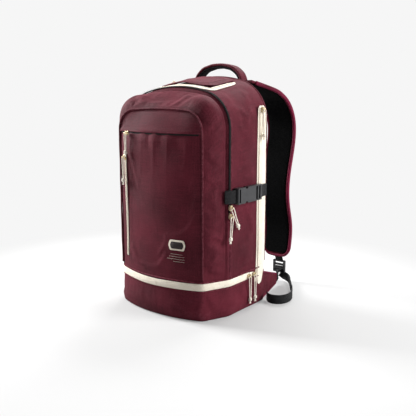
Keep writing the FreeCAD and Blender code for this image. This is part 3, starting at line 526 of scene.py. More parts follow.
def rounded_rect(width, thick, radius, steps=3):
    """A rectangle with round corners, anticlockwise, about the origin."""
    turn = np.linspace(0, math.pi / 2, steps + 1)
    points = []
    for quarter, (x, y) in enumerate(((1, 1), (-1, 1), (-1, -1), (1, -1))):
        angle = turn + quarter * math.pi / 2
        points.append(np.stack([x * (width / 2 - radius) + radius * np.cos(angle),
                                y * (thick / 2 - radius) + radius * np.sin(angle)], -1))
    return np.concatenate(points)


def circle(radius, sides=8):
    angle = np.arange(sides) * 2 * math.pi / sides
    return np.stack([np.cos(angle), np.sin(angle)], -1) * radius


def smooth_line(points, pitch=4.0):
    """A natural cubic curve through the points, sampled evenly."""
    points = np.array(points, float)
    knots = np.concatenate([[0], np.cumsum(np.linalg.norm(np.diff(points, axis=0), axis=1))])
    gaps = np.diff(knots)
    count = len(points)
    system, slopes = np.eye(count), np.zeros_like(points)
    for n in range(1, count - 1):
        system[n, n - 1:n + 2] = gaps[n - 1], 2 * (gaps[n - 1] + gaps[n]), gaps[n]
        slopes[n] = 6 * ((points[n + 1] - points[n]) / gaps[n] - (points[n] - points[n - 1]) / gaps[n - 1])
    bends = np.linalg.solve(system, slopes)
    at = np.linspace(0, knots[-1], max(int(knots[-1] / pitch), 2) + 1)
    n = np.clip(np.searchsorted(knots, at, side="right") - 1, 0, count - 2)
    a, b, gap = (knots[n + 1] - at)[:, None], (at - knots[n])[:, None], gaps[n][:, None]
    return (bends[n] * a ** 3 + bends[n + 1] * b ** 3) / (6 * gap) \
        + (points[n] / gap - bends[n] * gap / 6) * a + (points[n + 1] / gap - bends[n + 1] * gap / 6) * b


def evenly(line, pitch, *others):
    """The line and anything given along with it, resampled at an even pitch."""
    run = np.concatenate([[0], np.cumsum(np.linalg.norm(np.diff(line, axis=0), axis=1))])
    at = np.linspace(0, run[-1], max(int(round(run[-1] / pitch)), 1) + 1)
    return [np.stack([np.interp(at, run, part[:, k]) for k in range(part.shape[1])], -1)
            for part in (line, *others)]


def slab(outline, low, high, bevel=0.5, frame_at=None):
    """A flat plate with chamfered edges. frame_at is (origin, x, y, z) or None for the bag's own axes."""
    outline = np.array(outline, float)
    centre = outline.mean(0)
    away = unit(outline - centre) * bevel
    rings = [(outline - away, low), (outline, low + bevel), (outline, high - bevel), (outline - away, high)]
    net = np.array([[(*p, level) for p in ring] for ring, level in rings])
    if frame_at is not None:
        origin, x, y, z = (np.array(part, float) for part in frame_at)
        net = origin + net[..., :1] * x + net[..., 1:2] * y + net[..., 2:] * z
    count = len(outline)
    first = np.arange(count)
    return capped(grid(net, wrap=True), first[::-1], 3 * count + first)


def stitches(line, normal, pitch=4.2, length=2.9, thick=0.5, lift=0.15):
    """Separate stitches along a line, each a small rounded length of thread."""
    tight, normals = evenly(line, pitch, np.broadcast_to(np.array(normal, float), line.shape))
    middles = (tight[:-1] + tight[1:]) / 2
    tangent = unit(tight[1:] - tight[:-1])
    up = (normals[:-1] + normals[1:]) / 2
    up = unit(up - (up * tangent).sum(-1, keepdims=True) * tangent)
    across = np.cross(up, tangent)
    rings = []
    for run, size in ((-0.5, 0.25), (-0.32, 1.0), (0.32, 1.0), (0.5, 0.25)):
        for x, y in ((1, 0), (0, 1), (-1, 0), (0, -0.6)):
            rings.append(middles + tangent * run * length
                         + (across * x + up * (y * 0.8)) * size * thick / 2 + up * lift)
    points = np.stack(rings, 1)
    pattern = []
    for ring in range(3):
        for side in range(4):
            a, b = ring * 4 + side, ring * 4 + (side + 1) % 4
            pattern.append([a, b, b + 4, a + 4])
    pattern += [[3, 2, 1, 0], [12, 13, 14, 15]]
    faces = [[i + 16 * n for i in face] for n in range(len(middles)) for face in pattern]
    flat = points.reshape(-1, 3)
    return flat, faces, flat[np.array(faces).ravel()][:, [0, 2]] * MM


def coil(line, normal, pitch=1.9, width=3.4, thick=1.3):
    """The teeth of a closed zip: small rounded bars across its line, from both sides in turn."""
    tight, normals = evenly(line, pitch, np.broadcast_to(np.array(normal, float), line.shape))
    tangent = unit(np.gradient(tight, axis=0))
    up = unit(normals - (normals * tangent).sum(-1, keepdims=True) * tangent)
    across = np.cross(up, tangent)
    side = np.where(np.arange(len(tight)) % 2, 0.45, -0.45)[:, None]
    base = tight + across * side
    corners = [(-1, -1, 0), (1, -1, 0), (1, 1, 0), (-1, 1, 0), (-0.7, -0.55, 1), (0.7, -0.55, 1),
               (0.7, 0.55, 1),
               (-0.7, 0.55, 1)]
    points = np.stack([base + across * x * width / 2 + tangent * y * pitch * 0.42 + up * z * thick
                       for x, y, z in corners], 1)
    box = [[4, 5, 6, 7], [0, 1, 5, 4], [1, 2, 6, 5], [2, 3, 7, 6], [3, 0, 4, 7], [3, 2, 1, 0]]
    faces = [[i + 8 * n for i in face] for n in range(len(tight)) for face in box]
    flat = points.reshape(-1, 3)
    return flat, faces, flat[np.array(faces).ravel()][:, [0, 2]] * MM


def add_piece(name, shape, material, node=None, body="bag", sharp=None, smooth=0,
              thickness=0.0):
    """Makes the shape an object that rides on a body and stands for a CAD node.

    sharp is an angle in degrees that stays an edge.
    """
    points, faces, thread = shape
    mesh = bpy.data.meshes.new(name)
    mesh.from_pydata((points * MM).tolist(), [], faces)
    mesh.uv_layers.new(name=THREAD).data.foreach_set("uv", np.asarray(thread, np.float32).ravel())
    mesh.shade_smooth()
    if sharp:
        mesh.set_sharp_from_angle(angle=math.radians(sharp))
    mesh.materials.append(material)
    piece = bpy.data.objects.new(name, mesh)
    bpy.context.scene.collection.objects.link(piece)
    if thickness:
        solid = piece.modifiers.new("Thickness", "SOLIDIFY")
        solid.thickness, solid.offset = thickness * MM, -1
    if smooth:
        piece.modifiers.new("Smooth", "SUBSURF").levels = smooth
        piece.modifiers["Smooth"].render_levels = smooth
    if body:
        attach(piece, body)
    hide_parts(*([node] if node else []))
    return piece


# ---------------------------------------------------------------- surfaces of the bag

def arch(t, half, low, top, corner, crown):
    """Points (x, z) of a flat-bottomed arch. t runs from 0 at the right foot to 5 at the left foot, one for
    each side, each corner and the crown."""
    mirrored = np.minimum(t, 5 - t)
    shoulder = half - corner * (1 - math.sin(crown))
    radius = shoulder / math.sin(crown)
    side_top = top - corner * math.cos(crown) - radius * (1 - math.cos(crown))
    turn = np.clip(mirrored - 1, 0, 1) * (math.pi / 2 - crown)
    over = shoulder * (1 - 2 * np.clip(mirrored - 2, 0, 0.5))
    x = np.where(mirrored <= 1, half, np.where(mirrored <= 2, half - corner + corner * np.cos(turn), over))
    z = np.where(mirrored <= 1, low + (side_top - low) * np.clip(mirrored, 0, 1),
                 np.where(mirrored <= 2, side_top + corner * np.sin(turn),
                          top - radius + np.sqrt(np.maximum(radius ** 2 - over ** 2, 0))))
    return np.stack([np.where(t > 2.5, -x, x), z], -1)


def arch_line(t, y, pitch, *outline):
    """A line round an arch at one y, sampled evenly."""
    flat = arch(t, *outline)
    return evenly(np.stack([flat[:, 0], np.full(len(t), y), flat[:, 1]], -1), pitch)[0]


def arch_net(t, y, half, low, top, corner, crown, inset=0.0):
    """Rows of one arch each, at levels y, with tops and insets that may change from row to row."""
    rows = []
    for level, height, cut, bend in zip(*np.broadcast_arrays(y, top, inset, corner)):
        flat = arch(t, half - cut, low, height - cut, bend - cut, crown)
        rows.append(np.stack([flat[:, 0], np.full(len(t), level), flat[:, 1]], -1))
    return np.array(rows)


def corner_at(y):
    """Radius of the bag's shoulders, a little tighter at the front seam than at the rear."""
    return SEAM_CORNER + (ARCH_CORNER - SEAM_CORNER) * (y - SEAM_Y) / (REAR_Y - SEAM_Y)


def roof(x, y):
    """Height of the bag's sloping, crowned top."""
    top = SEAM_TOP + (REAR_TOP - SEAM_TOP) * (y - SEAM_Y) / (REAR_Y - SEAM_Y)
    corner = corner_at(y)
    shoulder = HALF - corner * (1 - math.sin(CROWN))
    radius = shoulder / math.sin(CROWN)
    side_top = top - corner * math.cos(CROWN) - radius * (1 - math.cos(CROWN))
    beside = np.clip(np.abs(x) - (HALF - corner), 0, corner)
    return np.where(np.abs(x) <= shoulder, top - radius + np.sqrt(np.maximum(radius ** 2 - x ** 2, 0)),
                    side_top + np.sqrt(np.maximum(corner ** 2 - beside ** 2, 0)))


def face_top(x):
    """Height of the front face's arched upper edge."""
    shoulder = FACE_HALF - FACE_CORNER * (1 - math.sin(FACE_CROWN))
    radius = shoulder / math.sin(FACE_CROWN)
    side_top = FACE_TOP - FACE_CORNER * math.cos(FACE_CROWN) - radius * (1 - math.cos(FACE_CROWN))
    beside = np.clip(np.abs(x) - (FACE_HALF - FACE_CORNER), 0, FACE_CORNER)
    return np.where(np.abs(x) <= shoulder, FACE_TOP - radius + np.sqrt(np.maximum(radius ** 2 - x ** 2, 0)),
                    side_top + np.sqrt(np.maximum(FACE_CORNER ** 2 - beside ** 2, 0)))


def face_depth(x, z):
    """How far the front face bulges at a place on it."""
    low = np.clip((face_top(x) - z) / BULGE_DROP, 0, 1)
    return (BULGE_AXIS - np.sqrt(BULGE_RADIUS ** 2 - x ** 2) - FACE_Y) * -1 * low * (2 - low)


def face_point(x, z, lift=0.0):
    x, z = np.broadcast_arrays(np.asarray(x, float), np.asarray(z, float))
    return np.stack([x, FACE_Y - face_depth(x, z) - lift, z], -1)


def face_normal(x):
    outward = np.stack([np.asarray(x, float), -np.sqrt(BULGE_RADIUS ** 2 - np.asarray(x, float) ** 2),
                        np.zeros_like(np.asarray(x, float))], -1)
    return outward / BULGE_RADIUS


def bag_plan(step=5.0, grow=0.0):
    """Plan of the lower part from the right rear corner round the front to the left rear corner."""
    across = np.linspace(FACE_HALF, -FACE_HALF, 49)
    front = np.stack([across, BULGE_AXIS - np.sqrt(BULGE_RADIUS ** 2 - across ** 2)], -1)
    line = np.concatenate([[(HALF, REAR_Y), (HALF, SEAM_Y)], front, [(-HALF, SEAM_Y), (-HALF, REAR_Y)]])
    line = evenly(line, step)[0]
    for _ in range(int(75 / step ** 2)):
        line[1:-1] = (line[:-2] + 2 * line[1:-1] + line[2:]) / 4
    tangent = unit(np.gradient(line, axis=0))
    outward = np.stack([-tangent[:, 1], tangent[:, 0]], -1)
    outward *= np.sign((outward * line).sum(-1, keepdims=True))
    return line + outward * grow, outward


def ripple(points, wavelength, seed, count=7):
    """Smooth unevenness of about one unit, made of plane waves in fixed random directions."""
    draw = np.random.default_rng(seed)
    direction = unit(draw.normal(size=(count, 3)))
    wave = 2 * math.pi / (wavelength * draw.uniform(0.7, 1.5, count))
    return np.sin(points @ (direction * wave[:, None]).T + draw.uniform(0, 7,
                                                                        count)).sum(-1) / math.sqrt(count)


def fold(points, start, end, width, depth):
    """A crease (negative depth) or a ridge along the line between two points, fading at its ends."""
    start, run = np.array(start, float), np.array(end, float) - np.array(start, float)
    t = ((points - start) @ run) / (run @ run)
    away = np.linalg.norm(points - start - np.clip(t, 0, 1)[..., None] * run, axis=-1)
    fade = np.sin(np.clip(t, 0, 1) * math.pi) ** 0.5
    return depth * fade * np.exp(-(away / width) ** 2)


def folds(points, *creases):
    """The sum of several folds, each (start, end, width, depth)."""
    return sum(fold(points, *crease) for crease in creases)


def fade_in(value, start, end):
    """0 up to start and 1 from end on, with a smooth step between them."""
    t = np.clip((value - start) / (end - start), 0, 1)
    return t * t * (3 - 2 * t)


def push(net, amount, out_from):
    """Moves a net along its own normals, outward from a point."""
    normal = unit(np.cross(np.gradient(net, axis=1), np.gradient(net, axis=0)))
    if (normal * (net - np.array(out_from))).sum() < 0:
        normal = -normal
    return net + normal * amount[..., None]


CLOTH_FRAMES, CLOTH_STIFFNESS, CLOTH_WEIGHT = 14, 6.0, 0.15


def settle(piece, free, cap, shrink):
    """Cloth simulation of a piece. free is 0 where a point is held and 1 where it may move by cap (mm)."""
    mesh = piece.data
    count = len(mesh.vertices)
    held = piece.vertex_groups.new(name="held")
    for index in range(count):
        held.add([index], float(1 - free[index]) if free[index] < 0.6 else 0.0, "REPLACE")
    cloth = piece.modifiers.new("Cloth", "CLOTH")
    while piece.modifiers[0] != cloth:
        bpy.context.view_layer.objects.active = piece
        bpy.ops.object.modifier_move_up(modifier="Cloth")
    settings = cloth.settings
    settings.quality = 6
    settings.mass = CLOTH_WEIGHT
    settings.tension_stiffness = settings.compression_stiffness = CLOTH_STIFFNESS
    settings.shear_stiffness = CLOTH_STIFFNESS / 2
    settings.bending_stiffness = 0.6
    settings.shrink_min = shrink
    settings.vertex_group_mass = "held"
    settings.effector_weights.gravity = 0.3
    cloth.point_cache.frame_start, cloth.point_cache.frame_end = 1, CLOTH_FRAMES
    others = [m for m in piece.modifiers if m != cloth]
    for other in others:
        other.show_viewport = False
    scene = bpy.context.scene
    for number in range(1, CLOTH_FRAMES + 1):
        scene.frame_set(number)
    evaluated = piece.evaluated_get(bpy.context.evaluated_depsgraph_get()).data
    after, before = np.zeros(count * 3), np.zeros(count * 3)
    evaluated.vertices.foreach_get("co", after)
    mesh.vertices.foreach_get("co", before)
    moved = (after - before).reshape(-1, 3)
    far = np.linalg.norm(moved, axis=1, keepdims=True)
    limit = cap * MM
    moved *= np.where(far > 0, np.tanh(far / limit) * limit / np.maximum(far, 1e-9), 0)
    moved *= np.clip(free, 0, 1)[:, None]
    piece.modifiers.remove(cloth)
    mesh.vertices.foreach_set("co", before + moved.ravel())
    mesh.update()
    for other in others:
        other.show_viewport = True
    scene.frame_set(1)


# ---------------------------------------------------------------- shells

SIDE_STEPS, CORNER_STEPS, CROWN_STEPS = 60, 22, 26
MOUTH_HALF, MOUTH_FRONT, MOUTH_REAR = 60.0, -6.0, 66.0


def arch_steps(extra=()):
    """Values of t for an arch's net, with any extra places on its crown."""
    side = np.linspace(0, 1, SIDE_STEPS, endpoint=False)
    corner = np.linspace(1, 2, CORNER_STEPS, endpoint=False)
    crown = np.unique(np.concatenate([np.linspace(2, 3, CROWN_STEPS + 1), extra]))
    right = np.concatenate([side, corner])
    return np.concatenate([right, crown, 5 - right[::-1]])


def add_main_shell():
    """Sides, top, front wall and rear edge of the main compartment, with the mouth cut in its top."""
    shoulder = HALF - ARCH_CORNER * (1 - math.sin(CROWN))
    mouth_t = 2 + (1 - MOUTH_HALF / shoulder) / 2
    t = arch_steps((mouth_t, 5 - mouth_t))
    edge = 3.0
    turn = np.radians([25, 50, 75])
    y = [SEAM_Y + 1, SEAM_Y + 1, SEAM_Y, -32, -26, -19, -12, MOUTH_FRONT, 1, 8, 15, 22, 29, 36, 43, 50, 58,
         MOUTH_REAR, 73, 80, 86, REAR_Y - edge, *(REAR_Y - edge + edge * np.sin(turn)), REAR_Y, REAR_Y]
    inset = [70, 30, *[0] * 20, *(edge * (1 - np.cos(turn))), edge, 26]
    y, inset = np.array(y, float), np.array(inset, float)
    top = SEAM_TOP + (REAR_TOP - SEAM_TOP) * (y - SEAM_Y) / (REAR_Y - SEAM_Y)
    net = arch_net(t, y, HALF, BASE_TOP, top, corner_at(y), CROWN, inset)
    row = np.meshgrid(t, y)[1]
    x, z = net[..., 0], net[..., 2]
    middle = np.broadcast_to((inset == 0)[:, None], x.shape)
    between = np.sin(np.clip((row - SEAM_Y) / (REAR_Y - SEAM_Y), 0, 1) * math.pi)
    on_side = (z < 440) & (np.abs(x) > HALF - 1)
    clear_of_zip = 1 - fade_in(row, 44, 56) * (np.abs(x) > HALF - 30)
    strapped = 1 - 0.9 * np.exp(-((z - STRAP_LEVEL) / 26) ** 2) * on_side
    under_lid = fade_in(z, 455, 475) * (1 - fade_in(np.abs(x), 88, 104))
    amount = between * (1.6 + 0.9 * ripple(net, 150, 3)) * clear_of_zip * strapped * fade_in(z, 92, 130)
    amount *= 1 - 0.9 * under_lid
    right = HALF
    amount += folds(net, ((right, -34, 300), (right, 40, 352), 7, 1.3),
                    ((right, -30, 290), (right, 48, 330), 5, -1.5))
    amount += folds(net, ((right, -36, 236), (right, 36, 196), 7, -1.3),
                    ((right, -20, 120), (right, 40, 170), 12, 1.2))
    amount += folds(net, ((right, 40, 440), (116, 66, 474), 4, -2.4),
                    ((right, 30, 452), (108, 62, 486), 6, 1.4))
    amount += fold(net, (-right, -30, 290), (-right, 48, 340), 7, -1.5)
    amount += fold(net, (-right, -36, 236), (-right, 36, 190), 7, -1.3)
    net = push(net, np.where(middle, amount, 0), (0, 30, 280))
    mouth = (np.abs(x[:-1, :-1] + x[1:, 1:]) / 2 < MOUTH_HALF) & (z[:-1, :-1] > 440) \
        & (row[:-1, :-1] >= MOUTH_FRONT) & (row[1:, 1:] <= MOUTH_REAR) & (inset[:-1, None] == 0)
    shape = grid(net, keep=~mouth, out_from=(0, 30, 280))
    shell = add_piece("main_compartment_shell", shape, BURGUNDY, "main_shell", thickness=1.4)
    shell.data.materials.append(LINING)
    shell.modifiers["Thickness"].material_offset = 1
    free = between * middle * clear_of_zip * strapped * fade_in(z, 84, 110)
    free *= 1 - (z > 470) * (np.abs(x) < 95)
    settle(shell, free.ravel(), 2.6, shrink=-0.025)


def add_gusset():
    """The deep padded side of the front compartment, from the face's edge back to the black zip."""
    t = arch_steps()
    share = np.array([0, 0.03, 0.07, 0.13, 0.2, 0.28, 0.37, 0.46, 0.55, 0.63, 0.7, 0.76, 0.8, 0.83, 0.86,
                      0.89,
                      0.93, 0.97, 1.0])
    front = arch_net(t, [FACE_Y], FACE_HALF, BASE_TOP, FACE_TOP, FACE_CORNER, FACE_CROWN)[0]
    rear = arch_net(t, [SEAM_Y - 0.3], HALF - 0.1, BASE_TOP, SEAM_TOP - 0.1, SEAM_CORNER, CROWN)[0]
    net = front + (rear - front) * share[:, None, None]
    column, row = np.meshgrid(t, share)
    x, z = net[..., 0], net[..., 2]
    upper = fade_in(z, 380, 440)
    belly = np.sin(np.clip(row / 0.84, 0, 1) * math.pi) ** 0.8
    strapped = 1 - 0.85 * np.exp(-((z - STRAP_LEVEL) / 24) ** 2) * (row > 0.5)
    amount = belly * (4.0 + 1.5 * upper + 1.3 * ripple(net, 120, 11)) * fade_in(z, 84, 130) * strapped
    shoulder = np.exp(-((np.minimum(column, 5 - column) - 1.62) / 0.45) ** 2)
    amount += (8.0 + 3.0 * (x < 0)) * shoulder * np.sin(np.clip(row / 0.9, 0, 1) * math.pi) ** 0.8
    amount += np.where(row > 0.84, 1.4 * np.sin(np.clip((row - 0.84) / 0.16, 0, 1) * math.pi), 0) * strapped
    amount -= 2.6 * np.exp(-((row - 0.84) / 0.026) ** 2) * fade_in(z, 100, 200)
    for start, end, width, depth in (
            ((-40, -80, 458), (80, -72, 462), 5, -2.4), ((-60, -66, 470), (60, -62, 474), 6, 1.6),
            ((20, -92, 445), (44, -60, 476), 4, -2.6), ((34, -92, 446), (62, -58, 476), 6, 1.5),
            ((118, -88, 392), (136, -48, 424), 6, -2.2), ((126, -80, 352), (140, -46, 372), 8, -1.7),
            ((124, -84, 300), (136, -52, 322), 7, -1.8), ((124, -84, 178), (138, -46, 160), 8, -1.7),
            ((-122, -84, 400), (-138, -48, 424), 6, -2.2), ((-124, -84, 318), (-137, -50, 300), 8, -1.7)):
        amount += fold(net, start, end, width, depth)
    net = push(net, amount * fade_in(np.minimum(row, 1 - row), -0.02, 0.06), (0, -60, 260))
    shape = grid(net, out_from=(0, -60, 260))
    gusset = add_piece("front_gusset", shape, BURGUNDY, "front_pouch", smooth=1, thickness=1.4)
    free = np.clip(np.minimum(row, 0.8 - row) * 7, 0, 1) * strapped * fade_in(z, 84, 110)
    settle(gusset, free.ravel(), 4.0, shrink=-0.035)


def add_front_panel():
    """The pocket's bulged front, gathered under the yoke's hem."""
    x = np.linspace(-FACE_HALF, FACE_HALF, 74)
    z = np.concatenate([np.linspace(BASE_TOP, 330, 52), np.linspace(334, HEM + 1, 24)])
    gx, gz = np.meshgrid(x, z)
    net = face_point(gx, gz)
    edge = FACE_HALF - np.abs(gx)
    near_hem = fade_in(gz, 345, 385)
    gathers = sum(size * np.exp(-((gx - place) / width) ** 2) for place, width, size in (
        (-72, 9, 1.4), (-48, 7, -1.6), (-30, 8, 2.0), (-12, 6, -1.9), (4, 8, 1.8), (22, 7, -1.6),
        (40, 9, 1.5),
        (62, 8, -1.3), (84, 9, 1.1)))
    amount = gathers * near_hem * (0.65 - 0.35 * (gx < -20)) + gathers * 0.04 * fade_in(gz, 220, 350)
    amount += 1.5 * ripple(net, 130, 5) * fade_in(edge, 4, 36) * fade_in(gz, 90, 140) * (1 - near_hem * 0.7)
    amount -= 2.2 * np.exp(-(edge / 4) ** 2)
    amount -= 0.9 * fade_in(gz, HEM - 12, HEM - 2)
    amount += folds(net, ((-96, -100, 108), (-60, -112, 150), 9, 1.4),
                    ((60, -112, 330), (104, -104, 250), 12, -0.8))
    zip_strip = np.exp(-((gx - UPRIGHT_X) / 7) ** 2) * (gz > 108) * (gz < 352)
    amount = np.where(zip_strip > 0.3, np.minimum(amount, 0), amount)
    net = push(net, amount, (0, 0, 240))
    panel = add_piece("pocket_front", grid(net, out_from=(0, 0, 240)), BURGUNDY, "pocket_panel", smooth=1,
                      thickness=1.4)
    free = np.clip(edge / 26, 0, 1) * fade_in(gz, 84, 112) * (1 - fade_in(gz, 366, HEM - 6))
    free *= fade_in(np.abs(gx - UPRIGHT_X), 5, 22)
    on_label = fade_in(np.maximum(np.abs(gx - LABEL_X) - 21, np.abs(gz - LABEL_Z) - 10), 2, 16)
    settle(panel, (free * on_label).ravel(), 1.1, shrink=-0.012)


def add_yoke():
    """The yoke over the pocket, whose turned hem stands proud of the panel below."""
    x = FACE_HALF * np.sin(np.linspace(-math.pi / 2, math.pi / 2, 74))
    share = np.array([0, 0, 0.02, 0.06, 0.12, 0.2, 0.3, 0.4, 0.5, 0.6, 0.7, 0.8, 0.88, 0.94, 0.98, 1.0])
    gx, row = np.meshgrid(x, share)
    gz = HEM + (np.maximum(face_top(gx), HEM) - HEM) * row
    net = face_point(gx, gz)
    edge = np.minimum(FACE_HALF - np.abs(gx), face_top(gx) - gz)
    amount = 1.9 * (1 - fade_in(row, 0.0, 0.5)) + 0.9 * ripple(net, 90, 21) * fade_in(edge, 2, 18)
    amount -= 0.9 * np.exp(-((gz - HEM - 9) / 1.6) ** 2)
    amount -= 2.0 * np.exp(-(edge / 3.5) ** 2) * (1 - np.exp(-((gz - HEM) / 12) ** 2))
    amount[0] = -0.4
    net = push(net, amount * fade_in(edge, -1, 3), (0, 0, 300))
    add_piece("front_yoke_panel", grid(net, out_from=(0, 0, 300)), BURGUNDY, "front_yoke", smooth=1,
              thickness=1.2)


def add_bottom():
    """The shoe compartment: a rounded, slightly slack tub."""
    line, outward = bag_plan(5.0)
    low_round, round_steps = 6.0, 5
    turn = np.linspace(0, math.pi / 2, round_steps + 1)
    levels = [0.15, 0.15, *(low_round * (1 - np.cos(turn))), 20, 28, 36, 44, 52, 60, 68, 73, BASE_TOP - 0.4]
    inset = [60, 30, *(low_round * (1 - np.sin(turn))), *[0] * 9]
    closing = np.array([(-HALF + 6, REAR_Y), (-60, REAR_Y), (0, REAR_Y), (60, REAR_Y), (HALF - 6, REAR_Y)])
    rear = evenly(np.concatenate([[line[-1]], closing, [line[0]]]), 5.0)[0][1:-1]
    ring = np.concatenate([line, rear])
    ring_out = np.concatenate([outward, np.tile([[0.0, 1.0]], (len(rear), 1))])
    corner = np.exp(-((np.abs(ring[:, 0]) - HALF) / 6) ** 2 - ((ring[:, 1] - REAR_Y) / 6) ** 2)
    ring_out = unit(ring_out + corner[:, None] * np.stack([np.sign(ring[:, 0]), np.ones(len(ring))], -1))
    rows = []
    for level, cut in zip(levels, inset):
        flat = ring - ring_out * cut if cut < 20 else ring * (1 - cut / 150)
        rows.append(np.column_stack([flat, np.full(len(ring), max(level, 0.15))]))
    net = np.array(rows)
    z = net[..., 2]
    belly = np.sin(np.clip(z / 70, 0, 1) ** 0.7 * math.pi)
    amount = belly * (3.4 + 1.4 * ripple(net, 90, 31)) * (net[..., 1] < 92) * (z > 0.5)
    amount += folds(net, ((118, -96, 60), (126, -74, 14), 5, -2.0),
                    ((60, -112, 58), (98, -104, 22), 6, -1.4))
    amount += folds(net, ((-112, -100, 58), (-104, -104, 12), 6, -1.4),
                    ((142, -20, 56), (142, 20, 20), 7, -1.4))
    net = push(net, amount, (0, 0, 40))
    shape = capped(grid(net, wrap=True, out_from=(0, 0, 40)), np.arange(len(ring)))
    tub = add_piece("shoe_compartment_shell", shape, BURGUNDY, "bottom_compartment_shell", thickness=1.4)
    free = belly * (z > 6) * (net[..., 1] < 88)
    settle(tub, free.ravel(), 2.2, shrink=-0.02)


def add_lid():
    """The flap over the main mouth, with a raised front edge and a pointed front left corner."""
    across, along = np.linspace(-1, 1, 33), np.linspace(-1, 1, 25)
    a, b = np.meshgrid(across, along)
    half, front, rear = 72.0, -15.0, 78.0
    round_in = 1 - 0.07 * np.clip((np.abs(a) ** 6 * np.abs(b) ** 6), 0, 1) * (1 - (a < 0) * (b < 0))
    x = half * a * round_in
    y = (front + rear) / 2 + (rear - front) / 2 * b * round_in
    corner = fade_in(-a, 0.45, 1.0) * fade_in(-b, 0.35, 1.0)
    x, y = x + 5 * corner, y + 1 * corner
    edge = np.minimum(1 - np.abs(a), (1 - np.abs(b)) * 0.65)
    front_edge = fade_in(-b, 0.35, 1.0)
    rise = 2.2 + front_edge * (2.2 + 1.8 * np.cos(a * 4.4 + 0.6)) + corner * 1.5
    thick = 1.6 + 3.4 * fade_in(edge, 0.0, 0.28)
    points = np.stack([x, y, x * 0], -1)
    under = roof(x, y) + rise * (1 - 0.2 * edge)
    over = under + thick + 0.5 * ripple(points, 60, 41) * fade_in(edge, 0, 0.2)
    top_net, low_net = np.stack([x, y, over], -1), np.stack([x, y, under], -1)
    shape = merge(grid(top_net, out_from=(0, 30, 300)), grid(low_net, out_from=(0, 30, 900)))
    lid = add_piece("top_flap", shape, BURGUNDY, "top_lid", body="lid")
    mesh = bmesh.new()
    mesh.from_mesh(lid.data)
    edges = [e for e in mesh.edges if e.is_boundary]
    bmesh.ops.bridge_loops(mesh, edges=edges)
    bmesh.ops.recalc_face_normals(mesh, faces=mesh.faces)
    mesh.to_mesh(lid.data)
    mesh.free()
    lid.data.shade_smooth()
    count = len(lid.data.vertices)
    free = np.zeros(count)
    free[:a.size] = fade_in(edge, 0.04, 0.3).ravel()
    settle(lid, free, 2.5, shrink=-0.03)
    lid.modifiers.new("Smooth", "SUBSURF").levels = 1
    return lid


# ---------------------------------------------------------------- zips, tapes and trims



def mirrored(shape):
    """The shape seen in the bag's middle plane, with its faces still outward."""
    points, faces, thread = shape
    turned, start, loops = [], 0, []
    for face in faces:
        turned.append(face[::-1])
        loops.append(thread[start:start + len(face)][::-1])
        start += len(face)
    return points * np.array([-1, 1, 1]), turned, np.concatenate(loops)


def on_side(shape, side):
    return shape if side == "right" else mirrored(shape)


def ribbon(line, normal, width, thick, lift=0.0, crown=0.0):
    """A flat tape along a line; width may be one number for each station."""
    width = np.broadcast_to(np.asarray(width, float), (len(line),))
    across = np.linspace(-1, 1, 9)
    upper = np.stack([across, thick / 2 + crown * (1 - across ** 2)], -1)
    soft = np.concatenate([[[-1, thick * 0.25]], [[-0.95, thick / 2]], upper[1:-1], [[0.95, thick / 2]],
                           [[1, thick * 0.25]], [[1, -thick * 0.25]], [[0.95, -thick / 2]],
                           [[-0.95, -thick / 2]],
                           [[-1, -thick * 0.25]]])[::-1]
    profile = np.repeat(soft[None], len(line), 0)
    profile[..., 0] *= width[:, None] / 2
    profile[..., 1] += lift
    return sweep(line, normal, profile)


def add_arch_zip():
    """The black zip round the top of the front compartment."""
    shoulder = HALF - SEAM_CORNER * (1 - math.sin(CROWN))
    side_top = SEAM_TOP - SEAM_CORNER * math.cos(CROWN) - shoulder / math.sin(CROWN) * (1 - math.cos(CROWN))
    start = (node_box("zip_arch")[0][2] - BASE_TOP) / (side_top - BASE_TOP)
    t = np.linspace(start, 5 - start, 400)
    line = arch_line(t, SEAM_Y - 2.8, 3.0, HALF + 0.9, BASE_TOP, SEAM_TOP + 0.9, SEAM_CORNER, CROWN)
    tangent = unit(np.gradient(line, axis=0))
    normal = np.cross(np.array([0, 1, 0]), tangent)
    normal *= np.sign((normal * (line - np.array([0, SEAM_Y, 200]))).sum(-1, keepdims=True))
    fade = np.clip(np.minimum(np.arange(len(line)), np.arange(len(line))[::-1]) / 6, 0.25, 1)
    add_piece("arch_zip_tape", ribbon(line, normal, 6.0 * fade, 1.2), BLACK_TAPE, "zip_arch")
    add_piece("arch_zip_coil", coil(line, normal, 1.9, 3.4, 1.5), BLACK_TAPE)
    for shift, name in ((-8.0, "front"), (6.0, "rear")):
        seam = line + np.array([0, shift, 0]) + normal * (0.2 if shift > 0 else 1.1)
        add_piece(f"arch_zip_stitches_{name}", stitches(seam, normal, lift=0.1), THREADS)


